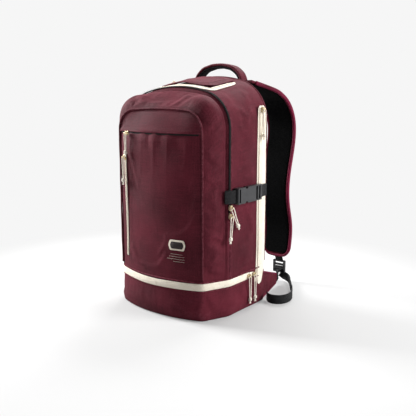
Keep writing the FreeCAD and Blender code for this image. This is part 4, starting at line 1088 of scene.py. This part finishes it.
def add_base_band():
    """The pale zip band round the foot of the bag, pointed at its right rear end."""
    line, outward = bag_plan(2.5, 1.1)
    keep = line[:, 1] < 58
    line, outward = line[keep], outward[keep]
    run = np.arange(len(line)) * 2.5
    level = (BAND_LOW + BAND_HIGH) / 2 + 0.8 * np.sin(run / 60.0) - 1.2 * np.exp(-((line[:,
                                                                                         0] + 20) / 50) ** 2)
    path = np.column_stack([line, level])
    normal = np.column_stack([outward, np.zeros(len(line))])
    width = 15.5 - 11 * np.exp(-run / 14) - 8 * np.exp(-run[::-1] / 16)
    add_piece("base_band_tape", ribbon(path, normal, width, 1.5, 0.2, 0.8), CREAM_TAPE, "zip_base")
    for rise in (-1, 1):
        seam = path + np.column_stack([np.zeros((len(path), 2)), rise * (width / 2 - 1.5)])
        add_piece(f"base_band_stitches_{'upper' if rise > 0 else 'lower'}",
                  stitches(seam[4:-4], normal[4:-4], 4.0, 2.6, 0.5, 1.0), CREAM_TAPE)
    rolls = ((BAND_HIGH + 1.2, 1.9), (BAND_LOW - 1.4, 1.7))
    for number, (height, radius) in enumerate(rolls):
        around, out = bag_plan(3.5, 0.5)
        edge = np.column_stack([around, height + 0.6 * np.sin(np.arange(len(around)) / 9)])
        keep = around[:, 1] < 90
        add_piece(f"base_piping_{number + 1}",
                  sweep(edge[keep], np.column_stack([out, np.zeros(len(out))])[keep], circle(radius, 10)),
                  BURGUNDY)


def add_side_zip():
    """The wide pale zip down the right side, with its coil near the front edge."""
    z = np.concatenate([np.arange(20, 436, 5.0), [438, 441, 444, 446, 447]])
    front = np.interp(z, (20, 76, 130, 435, 441, 447), (52, 60, 62, 62, 62.5, 67))
    rear = np.interp(z, (20, 60, 90, 300, 425, 441, 447), (72, 88, 95, 97.5, 95, 91, 83))
    bow = 1.2 * np.sin(z / 70.0)
    across = np.array([0, 0.03, 0.1, 0.2, 0.27, 0.31, 0.36, 0.42, 0.5, 0.62, 0.76, 0.9, 0.97, 1.0])
    y = (front + bow)[:, None] + (rear - front)[:, None] * across
    lift = np.interp(across, (0, 0.03, 0.1, 0.25, 0.31, 0.42, 0.62, 0.9, 0.97, 1),
                     (0, 0.9, 1.1, 0.8, 0.4, 1.8, 2.8, 2.2, 1.2, -1.0))
    net = np.stack(np.broadcast_arrays(HALF + 0.5 + lift, y, z[:, None]), -1)
    net[..., 0] += 0.5 * ripple(net, 60, 51) * np.sin(across * math.pi)
    add_piece("side_zip_tape", grid(net, out_from=(0, 75, 250)), CREAM_TAPE, "zip_side", smooth=1,
              thickness=1.0)
    teeth = np.stack([np.full(len(z), HALF + 1.3), front + bow + (rear - front) * 0.16, z], -1)[2:-3]
    add_piece("side_zip_coil", coil(teeth, (1, 0, 0), 1.9, 4.4, 1.5), COIL)
    for share, name in ((0.45, "front"), (0.93, "rear")):
        x = np.full(len(z), HALF + 1.9 + 0.4 * (share < 0.6))
        seam = np.stack([x, front + bow + (rear - front) * share, z], -1)[2:-3]
        add_piece(f"side_zip_stitches_{name}", stitches(seam, (1, 0, 0), 4.0, 2.6, 0.5, 0.1), CREAM_TAPE)


def add_top_zip():
    """The pale zip round three sides of the main mouth, under the lid."""
    turn = np.linspace(0, math.pi / 2, 7)
    corner = 9.0
    half, low = 81, -24.5
    right = [(half, 60), (half, low + corner),
             *[(half - corner + corner * math.cos(a), low + corner - corner * math.sin(a)) for a in turn]]
    flat = np.array(right + [(-x, y) for x, y in right[::-1]])
    flat = evenly(flat, 3.0)[0]
    wave = 1.2 * np.sin(np.arange(len(flat)) / 7.0)
    flat[:, 1] += wave * (np.abs(flat[:, 0]) < 70)
    line = np.column_stack([flat, roof(flat[:, 0], flat[:, 1]) + 1.3])
    slope = (REAR_TOP - SEAM_TOP) / (REAR_Y - SEAM_Y)
    normal = unit(np.column_stack([flat[:, 0] / 290, np.full(len(flat), -slope), np.ones(len(flat))]))
    run = np.arange(len(line)) * 3.0
    width = 14.5 - 9 * np.exp(-run / 8) - 9 * np.exp(-run[::-1] / 8)
    add_piece("top_zip_tape", ribbon(line, normal, width, 1.4, 0.1, 1.0), CREAM_TAPE, "zip_top")
    add_piece("top_zip_coil", coil(line[3:-3], normal[3:-3], 1.9, 3.2, 2.3), COIL)


def add_front_zips():
    """The upright zip at the left of the pocket and the level one under the yoke's hem."""
    z = np.linspace(346, 115, 78)
    x = UPRIGHT_X + 1.6 * np.sin((z - 115) / 42.0)
    line = face_point(x, z, 1.3)
    normal = face_normal(x)
    add_piece("upright_zip_tape", ribbon(line, normal, 7.4, 1.3, 0, 0.3), CREAM_TAPE, "zip_front_upright")
    add_piece("upright_zip_coil", coil(line[1:-1], normal[1:-1], 1.9, 3.0, 1.8), COIL)
    # the level zip is drawn in black tape as painted shade under the yoke's hem
    x = np.linspace(-108, 108, 90)
    line = face_point(x, HEM - 0.8, 0.1)
    add_piece("level_zip_tape", ribbon(line, face_normal(x), 8.4, 1.2), BLACK_TAPE, "zip_front_level")
    add_piece("level_zip_coil", coil(line, face_normal(x), 1.9, 3.2, 1.5), BLACK_TAPE)
    hem = face_point(np.linspace(-112, 112, 100), HEM + 9, 1.1)
    add_piece("hem_stitches", stitches(hem, face_normal(hem[:, 0]), 4.2, 3.0, 0.55, 0.1), THREADS)
    fold_line = face_point(np.linspace(-114.5, 114.5, 100), HEM - 0.2, 1.0)
    add_piece("hem_fold", sweep(fold_line, face_normal(fold_line[:, 0]), rounded_rect(3.0, 2.2, 1.0)),
              BURGUNDY)
    for away, name in ((-6.5, "left"), (6.5, "right")):
        seam = face_point(np.full(60, UPRIGHT_X + away), np.linspace(110, 350, 60), 0.2)
        add_piece(f"upright_zip_stitches_{name}",
                  stitches(seam, face_normal(seam[:, 0]), 4.0, 2.7, 0.5, 0.2), THREADS)


def add_face_piping():
    """Corded piping round the front face, with its row of stitches."""
    t = np.linspace(0.02, 4.98, 420)
    line = arch_line(t, FACE_Y - 1.4, 3.0, FACE_HALF + 0.6, BAND_HIGH + 2, FACE_TOP + 0.6, FACE_CORNER,
                     FACE_CROWN)
    line[:, 1] += 0.35 * ripple(line, 40, 61)
    tangent = unit(np.gradient(line, axis=0))
    outward = np.cross(np.array([0, 1, 0]), tangent)
    add_piece("face_piping", sweep(line, outward, circle(1.75, 10)), PIPING)
    inner = arch(t, FACE_HALF - 5, BAND_HIGH + 4, FACE_TOP - 5, FACE_CORNER - 5, FACE_CROWN)
    seam = face_point(inner[:, 0], inner[:, 1], 0.1)
    add_piece("face_stitches", stitches(evenly(seam, 4.0)[0], (0, -1, 0), 4.2, 2.9, 0.5, 0.3), THREADS)


def add_label():
    """A plain woven badge with a pale border and a dark middle."""
    middle = face_point(LABEL_X, LABEL_Z, 1.1)
    normal = face_normal(LABEL_X)
    side = unit(np.cross(normal, np.array([0, 0, 1.0])))
    side = -side if side[0] < 0 else side
    where = (middle, side, np.array([0, 0, 1.0]), normal)
    def badge(half, height):
        corners = [(half, 0), (half * 0.82, height), (-half * 0.82, height), (-half, 0),
                   (-half * 0.82, -height),
                   (half * 0.82, -height)]
        ring = np.array(corners + corners[:1], float)
        ring = evenly(ring, 1.2)[0][:-1]
        for _ in range(4):
            ring = (np.roll(ring, 1, 0) + 2 * ring + np.roll(ring, -1, 0)) / 4
        return ring
    if np.dot(np.cross(side, [0, 0, 1.0]), normal) < 0:
        where = (middle, -side, np.array([0, 0, 1.0]), normal)
    add_piece("label_badge", slab(badge(20, 11), 0, 1.6, 0.5, where), LABEL, "label_patch", sharp=50)
    add_piece("label_middle", slab(badge(16.2, 7.6), 1.3, 2.1, 0.25, where), LABEL_DARK, sharp=50)
    ring = badge(18.2, 9.4)
    loop = middle + ring[:, :1] * where[1] + ring[:, 1:] * where[2] + normal * 1.6
    add_piece("label_stitches", stitches(np.concatenate([loop, loop[:1]]), normal, 2.6, 1.8, 0.4, 0.1),
              THREADS)
    for row, (start, end) in enumerate(((-16, 12), (-20, 16), (-26, 16), (-10, 16))):
        x = np.linspace(LABEL_X + start, LABEL_X + end, 12)
        bar = face_point(x, LABEL_Z - 20 - 5.2 * row, 0.2)
        add_piece(f"label_bar_{row + 1}", stitches(bar, face_normal(x), 2.2, 1.5, 0.7, 0.2), LABEL)


# ---------------------------------------------------------------- zip sliders and pull cords

TOP_DOWN = (-math.cos(math.radians(18.1)), 0.0, -math.sin(math.radians(18.1)))
DOWN = (0.0, 0.0, -1.0)
# length of the doubled cord, its lean in degrees, its hanging direction, the length of the whole cord
PULLS = {"front_upright": (52, 0, DOWN, 112.8), "front_level": (42, 0, DOWN, 92.8),
         "side": (56, 0, DOWN, 120.8),
         "base_front": (54, 0, DOWN, 116.8), "base_rear": (54, 0, DOWN, 116.8),
         "arch_upper": (46, 28, DOWN, 100.8),
         "arch_lower": (48, -6, DOWN, 104.8), "top": (40, 0, TOP_DOWN, 88.9)}
TRAVEL = {"front_upright": DOWN, "side": DOWN, "base_front": (0, 1, 0), "base_rear": (0, 1, 0),
          "arch_upper": (0, 0, 1), "arch_lower": (0, 0, 1)}


def turned(vector, axis, degrees):
    angle = math.radians(degrees)
    return vector * math.cos(angle) + np.cross(axis, vector) * math.sin(angle) \
        + axis * np.dot(axis, vector) * (1 - math.cos(angle))


def add_pull(name, eye, across, down, length, lean):
    """A doubled cord from the slider's eye, its knot of three wraps and its two cut ends."""
    axis = np.cross(across, down)
    side, run = turned(across, axis, lean), turned(down, axis, lean)
    right_leg = [(0.15, 0.0), (3.9, 0.3), (4.2, 6.0), (3.0, 0.4 * length), (2.4, length)]
    route = right_leg + [(-u, v) for u, v in reversed(right_leg)]
    points = [(eye + side * u + run * v) * MM for u, v in route]
    curve = bpy.data.curves.new(f"cord_{name}", "CURVE")
    curve.dimensions = "3D"
    spline = curve.splines.new("NURBS")
    spline.points.add(len(points) - 1)
    for control, place in zip(spline.points, points):
        control.co = (*place, 1)
    spline.order_u, spline.use_endpoint_u = 3, True
    curve.resolution_u, curve.bevel_depth, curve.bevel_resolution = 12, 0.0011, 3
    curve.materials.append(CREAM_CORD)
    cord = bpy.data.objects.new(f"pull_cord_{name}", curve)
    bpy.context.scene.collection.objects.link(cord)
    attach(cord, f"pull_{name}")
    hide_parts(f"pull_{name}")
    turn = np.linspace(0, 6 * math.pi, 73)
    start = length - 5.4
    wraps = eye + side * (2.9 * np.cos(turn))[:, None] + axis * (2.6 * np.sin(turn))[:, None] \
        + run * (start + 1.4 + turn / math.pi)[:, None]
    shapes = [sweep(wraps, np.broadcast_to(run, wraps.shape), circle(1.4, 8))]
    core = eye + run * (start + np.array([0.3, 1.5, 4, 7, 8.4]))[:, None]
    size = np.array([1.8, 3.0, 3.2, 3.0, 1.8])
    shapes.append(sweep(core, side, circle(1, 10)[None] * size[:, None, None]))
    for sign in (-1, 1):
        tail = eye + side * (sign * np.array([1.1, 1.4, 1.9]))[:, None] \
            + run * (length + np.array([1.5, 5.0, 8.6]))[:, None]
        shapes.append(sweep(tail, axis, circle(1, 8)[None] * np.array([1.15, 1.15, 1.4])[:, None, None]))
    knot = add_piece(f"pull_knot_{name}", merge(*shapes), CREAM_CORD, body=f"pull_{name}", sharp=60)


def add_slider(name, eye, across, down, travel):
    """A cast slider: two plates round the coil, the post between them and the bail that holds the cord."""
    normal = np.cross(across, down)
    foot = eye - normal * 6.4
    travel = unit(np.array(travel, float))
    side = np.cross(travel, normal)
    outline = [(-4.5, -1.5), (-3.9, -4.6), (-2.2, -6), (2.2, -6), (3.9, -4.6), (4.5, -1.5), (4.5, 3.6),
               (3.6, 5.6),
               (2.2, 6), (-2.2, 6), (-3.6, 5.6), (-4.5, 3.6)]
    where = (foot, side, travel, np.cross(side, travel))
    if np.dot(where[3], normal) < 0:
        where = (foot, -side, travel, normal)
    shapes = [slab(outline, 2.5, 4.4, 0.55, where), slab(outline, 0.1, 1.3, 0.4, where),
              slab([(-1.3, -5.2), (1.3, -5.2), (1.3, -2.2), (-1.3, -2.2)], 0.8, 3.0, 0.1, where)]
    for sign in (-1, 1):
        edge = [(sign * 4.4, -1), (sign * 4.4, 4), (sign * 3.5, 4), (sign * 3.5, -1)]
        shapes.append(slab(edge if sign > 0 else edge[::-1], 2.0, 3.0, 0.1, where))
    angle = np.linspace(-1.2, math.pi + 1.2, 25)
    ring = [(2.4 * math.cos(a), 6.4 + 2.4 * math.sin(a)) for a in angle]
    ring = [(1.9, 3.6)] + ring + [(-1.9, 3.6)]
    bail = foot + down * np.array([p[0] for p in ring])[:,
                                                        None] + normal * np.array([p[1] for p in ring])[:, None]
    shapes.append(sweep(bail, across, rounded_rect(1.1, 1.6, 0.45, 2)))
    add_piece(f"slider_body_{name}", merge(*shapes), METAL, f"slider_{name}", body=f"slider_{name}",
              sharp=35)


def add_sliders_and_pulls():
    swings = {joint["name"]: joint for joint in frame["joints"]}
    for name, (length, lean, down, cord_length) in PULLS.items():
        swing = swings[f"pull_{name}_swing"]
        eye, across = np.array(swing["pos_m"]) / MM, np.array(swing["axis"], float)
        down = np.array(down)
        travel = TRAVEL.get(name)
        if travel is None:
            travel = across if name == "front_level" else down
        add_pull(name, eye, across, down, length, lean)
        add_slider(name, eye, across, down, travel)


# ---------------------------------------------------------------- handle, back and straps

HANDLE_HALF, HANDLE_FOOT, HANDLE_TOP, HANDLE_CORNER = 72, 486, 542.5, 50
HANDLE_Y, HANDLE_CROWN, GRIP_INSET = 117.0, math.radians(18), 3.0


def add_handle():
    """A padded grab handle over a black lining, with the sewn yoke that it and the straps grow from."""
    t = np.linspace(0.0, 5, 150)
    for name, node, inset, profile, material in (
            ("handle_grip", "handle_pad", GRIP_INSET, rounded_rect(26, 6, 2.8, 4), BURGUNDY),
            ("handle_underside", "handle_lining", 8.6, rounded_rect(23, 5.6, 2.2, 3), LINING)):
        line = arch_line(t, HANDLE_Y, 3.0, HANDLE_HALF - inset, HANDLE_FOOT, HANDLE_TOP - inset,
                         HANDLE_CORNER - inset, HANDLE_CROWN)
        tangent = unit(np.gradient(line, axis=0))
        normal = np.cross(np.array([0, 1.0, 0]), tangent)
        normal *= np.sign((normal * (line - np.array([0, HANDLE_Y, 480]))).sum(-1, keepdims=True))
        run = np.linspace(0, 1, len(line))
        swell = 1 - 0.14 * np.exp(-(np.minimum(run, 1 - run) / 0.06) ** 2)
        body = np.repeat(profile[None], len(line), 0) * swell[:, None, None]
        body[..., 1] += (0.25 * np.sin(run * 46))[:, None]
        piece = add_piece(name, sweep(line, normal, body), material, node, body="handle", smooth=1)
        if inset == GRIP_INSET:
            for edge, end in ((-10.6, "front"), (10.6, "rear")):
                seam = line + np.array([0, edge, 0]) + normal * 2.55
                add_piece(f"handle_stitches_{end}", stitches(seam[2:-2], normal[2:-2], 4.0, 2.7, 0.5, 0.1),
                          THREADS, body="handle")
    section = np.array([(97.4, 504), (106, 503.5), (113, 499), (117, 491), (115, 485), (110, 482),
                        (97.4, 483)])
    section = evenly(np.concatenate([section, section[:1]]), 2.5)[0][:-1]
    for _ in range(2):
        section[3:-3] = (section[2:-4] + 2 * section[3:-3] + section[4:-2]) / 4
    x = np.linspace(-128, 128, 60)
    sag = (roof(x, REAR_Y) - roof(0, REAR_Y)) * 0.92
    small = 1 - 0.55 * fade_in(np.abs(x), 112, 128)
    centre = section.mean(0)
    net = np.array([np.column_stack([np.full(len(section), px),
                                     centre[0] - (1 - s) * 8 + (section[:, 0] - centre[0]) * s,
                                     centre[1] + (section[:, 1] - centre[1]) * s + drop])
                    for px, drop, s in zip(x, sag, small)])
    first = np.arange(len(section))
    shape = capped(grid(net, wrap=True, out_from=(0, centre[0], centre[1] - 2)), first[::-1],
                   (len(x) - 1) * len(section) + first)
    add_piece("back_yoke", shape, BURGUNDY, smooth=1)


def add_back_panel():
    """The foam back panel: quilted pads between air channels, edged with a piping."""
    half, low, top, corner, crown = 122, 40, 484, 60, math.radians(8)
    t = np.linspace(0, 5, 190)
    flat = arch(t, half, low + 16, top, corner, crown)
    foot = np.array([(-half + 2, low + 6), (-half + 10, low), (half - 10, low), (half - 2, low + 6)])
    ring = np.concatenate([flat, foot, flat[:1]])
    ring = evenly(ring, 6.5)[0][:-1]
    centre = np.array([0.0, 262.0])
    share = np.concatenate([[0, 0, 0.004, 0.012, 0.025, 0.045], np.linspace(0.07, 0.985, 40)])
    rows = []
    for s in share:
        flat = centre + (ring - centre) * (1 - s)
        rows.append(np.column_stack([flat[:, 0], np.full(len(ring), REAR_Y + 0.4), flat[:, 1]]))
    net = np.array(rows)
    x, z = net[..., 0], net[..., 2]
    edge = np.broadcast_to(share[:, None], x.shape)
    rise = 12.0 * fade_in(edge, 0.0, 0.05) ** 0.5
    rise[0], rise[1] = 0, 0
    channel = np.minimum.reduce([np.abs(x) / 11, np.abs(z - 168) / 9, np.abs(z - 278) / 9,
                                 np.abs(z - 388) / 9])
    frame_in = fade_in(edge, 0.06, 0.16)
    rise -= 6.5 * (1 - fade_in(channel, 0.55, 1.7)) * frame_in
    rise += (1.2 + 0.7 * ripple(net, 80, 71)) * fade_in(channel, 0.8, 3.2) * frame_in
    rise -= 1.5 * np.exp(-((edge - 0.085) / 0.012) ** 2)
    net[..., 1] += rise
    shape = capped(grid(net, wrap=True, out_from=(0, 60, 262)),
                   (len(share) - 1) * len(ring) + np.arange(len(ring)))
    panel = add_piece("back_pad", shape, MESH, "back_foam_panel", smooth=1)
    loop = np.column_stack([ring[:, 0], np.full(len(ring), REAR_Y + 2.4), ring[:, 1]])
    loop = evenly(np.concatenate([loop, loop[:1]]), 4.0)[0][:-1]
    add_piece("back_pad_piping", sweep(loop, (0, 1, 0), circle(2.2, 10), closed=True), CRIMSON)
    t = np.linspace(0.02, 4.98, 300)
    sunk = 1.2
    edge = arch_line(t, REAR_Y + 0.6, 3.5, HALF - sunk, BAND_HIGH + 6, REAR_TOP - sunk, ARCH_CORNER - sunk,
                     CROWN)
    add_piece("rear_piping", sweep(edge, (0, 1, 0), circle(2.4, 10)), PIPING)
    # the fabric that closes the bag behind the pad
    z = np.linspace(BASE_TOP, REAR_TOP - 6, 46)
    a = np.linspace(-1, 1, 34)
    ga, gz = np.meshgrid(a, z)
    shoulder = HALF - ARCH_CORNER * (1 - math.sin(CROWN))
    side_top = REAR_TOP - ARCH_CORNER * math.cos(CROWN) - shoulder / math.sin(CROWN) * (1 - math.cos(CROWN))
    over = np.clip((gz - side_top) / ARCH_CORNER, 0, 1)
    reach = HALF - 3 - ARCH_CORNER * (1 - np.sqrt(np.maximum(1 - over ** 2, 0)))
    net = np.stack([ga * np.maximum(reach, 18), np.full(ga.shape, REAR_Y - 2.2), gz], -1)
    net[..., 1] += 0.25 * ripple(net, 70, 73)
    add_piece("rear_wall", grid(net, out_from=(0, 0, 260)), BURGUNDY, thickness=1.2)


STRAP_LINE = ((108, 498), (132, 491), (163, 478), (200, 461), (224, 441), (240, 414), (245, 388),
              (237, 331),
              (222.5, 269), (224, 210), (240, 146), (234.5, 88), (231.5, 70))


def strap_stations():
    """Middle line of the right strap, with its outward normals, half widths and distance to its lower end."""
    line = smooth_line([(95.0, y, z) for y, z in STRAP_LINE], 3.0)
    tangent = unit(np.gradient(line, axis=0))
    normal = np.cross(np.array([1.0, 0, 0]), tangent)
    z = line[:, 2]
    neck = fade_in(z, 474, 500)
    inner, outer = 55 + 5 * neck, 130 - 32 * neck
    line[:, 0] = (inner + outer) / 2
    half = (outer - inner) / 2
    run = np.concatenate([[0], np.cumsum(np.linalg.norm(np.diff(line, axis=0), axis=1))])
    left = run[-1] - run
    corner = 26.0
    half = half - corner + np.sqrt(corner ** 2 - (corner - np.clip(left, 0, corner)) ** 2)
    return line, normal, half, left


def add_strap(side):
    line, normal, half, left = strap_stations()
    body = f"strap_{side}"
    half = np.maximum(half, 6)
    angle = np.linspace(0, 2 * math.pi, 33)[:-1]
    across = np.sign(np.cos(angle)) * np.abs(np.cos(angle)) ** 0.35
    out = np.sign(np.sin(angle)) * np.abs(np.sin(angle)) ** 0.55
    profile = np.stack(np.broadcast_arrays(across * (half[:, None] - 2), 2.0 + out * 3.6), -1)
    run = np.arange(len(line)) * 3.0
    quilt = 0.5 * np.sin(run / 23.0)[:, None] * (out > 0) * (1 - np.abs(across) ** 4)
    profile[..., 1] += quilt
    pad = add_piece(f"strap_pad_{side}_outer", on_side(sweep(line, normal, profile), side), BURGUNDY,
                    f"strap_pad_{side}", body=body, smooth=1)
    inset = 6.0
    inner_half = np.maximum(half - inset, 2)
    profile = np.stack(np.broadcast_arrays(across * inner_half[:, None], -2.6 + out * 1.9), -1)
    keep = left > inset
    mesh = add_piece(f"strap_mesh_{side}_inner",
                     on_side(sweep(line[keep], normal[keep], profile[keep]), side), MESH,
                     f"strap_mesh_{side}", body=body, smooth=1)
    # binding: down the inner edge, round the lower end and up the outer edge
    turn_left, turn_right = line.copy(), line.copy()
    turn_left[:, 0] -= half - 2
    turn_right[:, 0] += half - 2
    low_middle = line[-1] + unit(line[-1] - line[-2]) * -1.0
    edge = np.concatenate([turn_left[3:-1], [low_middle], turn_right[3:-1][::-1]])
    normals = np.concatenate([normal[3:-1], normal[-1:], normal[3:-1][::-1]])
    path, normals = evenly(edge + normals * 1.4, 3.0, normals)
    add_piece(f"strap_binding_{side}", on_side(sweep(path, normals, rounded_rect(6.4, 9.2, 2.6, 3)), side),
              CRIMSON, body=body, smooth=1)
    for level, name in ((6.1, "outer"), (-3.3, "inner")):
        seam = path + normals * (level - 1.4)
        add_piece(f"strap_stitches_{side}_{name}",
                  on_side(stitches(seam, normals * np.sign(level), 4.0, 2.7, 0.5, 0.1), side), THREADS,
                  body=body)
    tab = smooth_line([(95, 236, 92), (95, 234.5, 82), (95, 240, 68), (95, 245.5, 57), (95, 246, 53)], 2.0)
    tangent = unit(np.gradient(tab, axis=0))
    add_piece(f"strap_tab_{side}",
              on_side(ribbon(tab, np.cross(np.array([1.0, 0, 0]), tangent), 22, 2.0), side), BLACK_WEB,
              f"strap_end_tab_{side}", body=body, smooth=1)


def add_wing(side):
    """The small stuffed wing at the foot of the back, with its bound edge."""
    corners = np.array([(137, 98.2, 4), (137, 98.2, 68), (108, 208, 31), (108, 208, 7)], float)
    a, b = np.meshgrid(np.linspace(0, 1, 22), np.linspace(0, 1, 12))
    middle = (corners[0] * (1 - a)[..., None] * (1 - b)[..., None] + corners[1] * (1 - a)[...,
                                                                                          None] * b[..., None]
              + corners[2] * a[..., None] * b[..., None] + corners[3] * a[..., None] * (1 - b)[..., None])
    out = unit(np.array([110.0, 29.0, 0.0]))
    edge = np.minimum(np.minimum(b, 1 - b) * 2, np.minimum(1 - a, a) * 3)
    swell = 0.3 + 2.4 * np.sqrt(np.clip(edge, 0, 1)) + 0.4 * ripple(middle, 40, 81)
    rows = [middle + out * swell[..., None], middle - out * swell[..., None]]
    shape = merge(grid(rows[0], out_from=(0, 150, 30)), grid(rows[1], out_from=(400, 150, 30)))
    add_piece(f"wing_pad_{side}", on_side(shape, side), BURGUNDY, f"wing_{side}", smooth=1)
    rim = evenly(np.array([corners[1], corners[2], corners[3], corners[0]]), 3.0)[0]
    for _ in range(2):
        rim[1:-1] = (rim[:-2] + 2 * rim[1:-1] + rim[2:]) / 4
    add_piece(f"wing_binding_{side}", on_side(sweep(rim, out, rounded_rect(4, 4.6, 1.6, 2)), side), CRIMSON)
    line = smooth_line([(112, 190, 19), (106.8, 213, 19), (103, 227, 21), (97.5, 237, 24),
                        (95.2, 243.5, 30),
                        (95, 246, 38)], 2.0)
    normal = np.linspace(0, 1, len(line))[:, None]
    face = unit((1 - normal) * out + normal * np.array([0, 1.0, 0.2]))
    lead = add_piece(f"adjuster_lead_{side}", on_side(ribbon(line, face, 21, 1.9), side), BLACK_WEB,
                     f"adjuster_webbing_{side}", body=None)
    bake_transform(lead)
    tail = smooth_line([(95, 246, 40), (95.4, 250.5, 30), (99, 253, 19), (107, 252.5, 14), (118, 247, 13),
                        (150, 208, 12), (180, 164, 12), (197, 122, 12), (188, 92, 12), (168, 86, 12),
                        (150, 100, 12)],
                       2.5)
    tangent = unit(np.gradient(tail, axis=0))
    on_edge = fade_in(np.arange(len(tail)) * 2.5, 8, 34)[:, None]
    flat_normal = np.array([0, 1.0, 0]) * (1 - on_edge) \
        + on_edge * unit(np.cross(tangent, np.array([0, 0, 1.0])))
    lift = 0.6 * np.sin(np.arange(len(tail)) / 11.0)
    tail[:, 2] += np.clip(lift, 0, 1) * (tail[:, 2] < 14)
    add_piece(f"adjuster_tail_{side}", on_side(ribbon(tail, flat_normal, 21.5, 1.9), side), BLACK_WEB,
              f"adjuster_webbing_{side}", body=f"strap_{side}")


def add_side_webbing(side):
    """Webbing to the two halves of the side buckle."""
    front = np.array([(139.6, -53.5), (141.5, -51), (145.8, -45), (149.5, -33.4), (150.5, -26),
                      (150.5, -22)])
    rear = np.array([(150.5, 42), (150.5, 62.4), (149.5, 67.4), (145.3, 84), (144.9, 96)])
    for name, stations in (("front", front), ("rear", rear)):
        line = smooth_line([(x, y, STRAP_LEVEL) for x, y in stations], 2.0)
        tangent = unit(np.gradient(line, axis=0))
        normal = np.cross(tangent, np.array([0, 0, 1.0]))
        piece = add_piece(f"side_webbing_{side}_{name}", on_side(ribbon(line, normal, 28, 2.0), side),
                          BLACK_WEB, f"side_webbing_{name}_{side}")
        if name == "rear":
            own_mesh(piece)


def finish_hard_parts():
    """Moulded buckles, their edges broken, and the boards and sleeve inside the bag."""
    for side in ("right", "left"):
        for node in (f"buckle_female_{side}", f"buckle_male_{side}", f"buckle_arms_{side}",
                     f"ladder_lock_{side}"):
            part = frame["nodes"][node]
            part.data.materials.clear()
            part.data.materials.append(ACETAL)
            bevel = part.modifiers.new("Bevel", "BEVEL")
            bevel.width, bevel.segments, bevel.limit_method = 0.0007, 2, "ANGLE"
    for node, material, slot in (("laptop_sleeve", SLEEVE, "lining_fabric"),
                                 ("frame_sheet", STIFF, "stiffener"),
                                 ("base_board", STIFF, "stiffener"),
                                 ("compartment_floor", SLEEVE, "lining_fabric")):
        part = frame["nodes"][node]
        part.data.materials.clear()
        part.data.materials.append(material)


add_sliders_and_pulls()
add_main_shell()
add_gusset()
add_front_panel()
add_yoke()
add_bottom()
add_lid()
add_arch_zip()
add_base_band()
add_side_zip()
add_top_zip()
add_front_zips()
add_face_piping()
add_label()
add_handle()
add_back_panel()
for strap_side in ("right", "left"):
    add_strap(strap_side)
    add_wing(strap_side)
    add_side_webbing(strap_side)
finish_hard_parts()
